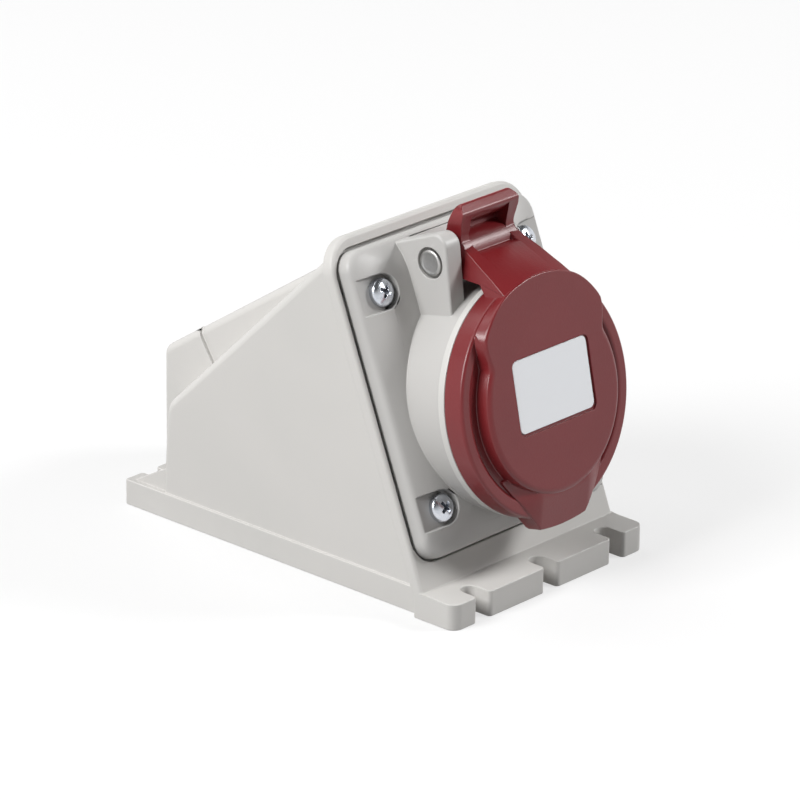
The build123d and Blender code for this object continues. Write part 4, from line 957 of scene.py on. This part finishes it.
def buildScrew(name, spot, turn):
    d = screwSizes
    head, brim, shank, deep = d["head"], d["brim"], d["shank"], d["threadDepth"]
    section = []
    for step in range(8):
        angle = pi / 2 * step / 8
        section.append((head * sin(angle), brim + (d["height"] - brim) * cos(angle) ** 0.9))
    section += [(head, 1.5), (head, 0.5), (head - 0.3, 0.0), (shank, 0)]
    for thread in range(d["threads"]):
        low = -2.5 - thread * d["pitch"]
        section += [(shank, low), (shank - deep, low - deep), (shank, low - 2 * deep)]
    section += [(1.9, -d["length"]), (0, -d["length"])]
    screw = addTurned(name, section, 48)
    for angle in (turn, turn + 90):
        turned = Matrix.Rotation(radians(angle), 2)
        rings = []
        for height, grow in ((d["height"] - d["crossDepth"], 0.45), (d["height"] + 0.6, 1.05)):
            half, width = d["cross"] * grow, d["crossHalf"] * grow
            ring = [(-half, -width), (half, -width), (half, width), (-half, width)]
            rings.append([(*(turned @ Vector(point)), height) for point in ring])
        combine(screw, addLoft("cross", rings), "DIFFERENCE")
    soften(screw, 0.12, 2, 40)
    screw.data.transform(Matrix.Translation((*spot, socket["pocketFloor"])))
    toMetres(screw, "face")
    return screw


for number, (across, along) in enumerate(((-1, -1), (-1, 1), (1, -1), (1, 1))):
    spot = (across * socket["screwX"], socket["plateMiddle"] + along * socket["screwUp"])
    turn = screwSizes["turn"] + screwSizes["turnStep"] * number
    screw = buildScrew(f"plateScrew{number}", spot, turn)
    finishPiece(screw, skins["zincSteel"], "base", ["plate_screws"])

pin = addTurned("hingePin", [(0, 23.5), (2.9, 23.5), (3.2, 23.65), (3.9, 23.75), (4.4, 23.6),
                             (4.66, 23.3), (4.7, 23.0), (4.7, 21.7), (2.5, 21.7), (2.5, -18.3),
                             (2.0, -18.7), (0, -18.7)], 64)
toMetres(pin, "pin")
finishPiece(pin, skins["pinMetal"], "base", ["hinge_pin"])

clip = addTurned("pinClip", [(pinHole, -18.32), (3.9, -18.32), (4.0, -18.4), (4.0, -18.55),
                             (3.9, -18.62), (pinHole, -18.62)], 48)
toMetres(clip, "pin")
finishPiece(clip, skins["springSteel"], "base", ["pin_clip"])

for skin, slot, nodes in (
    ("gasketRubber", "seal_rubber", ("plate_gasket",)),
    ("insertPlastic", "insert_plastic", ("contact_carrier", "carrier_flange", "terminal_block")),
    ("contactBrass", "contact_brass", ("contact_earth", "contact_l1", "contact_l2", "contact_l3",
                                       "contact_neutral")),
    ("zincSteel", "zinc_steel", ("terminal_screws", "carrier_screws")),
    ("contactBrass", "contact_brass", ("boss_inserts",)),
    ("glandPlastic", "gland_plastic", ("gland_body", "gland_nut")),
    ("sealRubber", "seal_rubber", ("gland_seal",)),
    ("glandPlastic", "gland_plastic", ("gland_locknut",)),
):
    for node in nodes:
        refined(node, node.replace("_", "") + "Dressed", skins[skin], "base")
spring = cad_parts["hinge_spring"]
spring.data.materials.clear()
spring.data.materials.append(skins["springSteel"])
print("stage: small parts")

# floor, lights, camera
studio = dict(
    floorColour=(0.30, 0.30, 0.30), floorGlow=0.63, ambient=0.13, skyTop=0.10, skyLow=0.18,
    skyEdge=0.62,
)
white = (1, 1, 1, 1)

clearSelection()
bpy.ops.mesh.primitive_plane_add(size=6, location=(0, 0, 0))
floor = bpy.context.object
floor.name = "studioFloor"
floorSkin, tree, shader, coords = startMaterial("floorPaper")
shader.inputs["Base Color"].default_value = (*studio["floorColour"], 1)
shader.inputs["Roughness"].default_value = 0.9
shader.inputs["Specular IOR Level"].default_value = 0.1
path = addNode(tree, "ShaderNodeLightPath").outputs
seen = joined(tree, "MAXIMUM", path["Is Camera Ray"], path["Is Glossy Ray"])
seen = joined(tree, "MAXIMUM", seen, path["Is Transmission Ray"])
tree.links.new(scaled(tree, seen, studio["floorGlow"]), shader.inputs["Emission Strength"])
shader.inputs["Emission Color"].default_value = white
floor.data.materials.append(floorSkin)

world = bpy.data.worlds.new("studioWorld")
bpy.context.scene.world = world
world.use_nodes = True
tree = world.node_tree
tree.nodes.clear()
path = addNode(tree, "ShaderNodeLightPath").outputs
# reflections see a bright horizon that darkens towards the ceiling; the camera sees plain white
direction = addNode(tree, "ShaderNodeTexCoord").outputs["Generated"]
height = addNode(tree, "ShaderNodeSeparateXYZ", {"Vector": direction}).outputs["Z"]
glossy = ranged(tree, height, 1.0, studio["skyTop"], studio["skyLow"], studio["skyEdge"])
dim, mirrored, plain = (
    addNode(tree, "ShaderNodeBackground", {"Color": white, "Strength": strength}).outputs[0]
    for strength in (studio["ambient"], glossy, 1.0))
soft = addNode(tree, "ShaderNodeMixShader", {0: path["Is Glossy Ray"], 1: dim, 2: mirrored})
seen = joined(tree, "MAXIMUM", path["Is Camera Ray"], path["Is Transmission Ray"])
both = addNode(tree, "ShaderNodeMixShader", {0: seen, 1: soft.outputs[0], 2: plain})
addNode(tree, "ShaderNodeOutputWorld", {"Surface": both.outputs[0]})

lamps = {
    "keyBox": dict(place=(-1.8, 0.35, 1.5), size=(1.0, 1.0), power=58),
    "backBox": dict(place=(-0.1, 1.1, 1.7), size=(1.2, 1.2), power=12),
    "frontBox": dict(place=(1.4, -1.4, 1.35), size=(0.6, 0.6), power=36),
}
for name, lamp in lamps.items():
    clearSelection()
    bpy.ops.object.light_add(type="AREA", location=lamp["place"])
    light = bpy.context.object
    light.name = name
    light.data.shape = "RECTANGLE"
    light.data.size, light.data.size_y = lamp["size"]
    light.data.energy = lamp["power"]
    aim = Vector((0, 0, 0.05)) - Vector(lamp["place"])
    light.rotation_euler = aim.to_track_quat("-Z", "Y").to_euler()

view = dict(place=(-1.2469, -1.1337, 0.7169), target=(0, -0.020, 0.050), roll=0.84, lens=232.785,
            shiftX=-0.0296, shiftY=0.0130)
clearSelection()
bpy.ops.object.camera_add()
camera = bpy.context.object
camera.name = "photoCamera"
ahead = (Vector(view["target"]) - Vector(view["place"])).normalized()
right = ahead.cross(Vector((0, 0, 1))).normalized()
up = right.cross(ahead)
turn = radians(view["roll"])
rightTurned = right * cos(turn) + up * sin(turn)
upTurned = up * cos(turn) - right * sin(turn)
camera.matrix_world = Matrix.Translation(view["place"]) @ Matrix(
    (rightTurned, upTurned, -ahead)).transposed().to_4x4()
camera.data.lens = view["lens"]
camera.data.sensor_width = 36
camera.data.shift_x = view["shiftX"]
camera.data.shift_y = view["shiftY"]
camera.data.clip_end = 20
bpy.context.scene.camera = camera
bpy.context.scene.view_settings.view_transform = "Standard"
print("stage: studio")
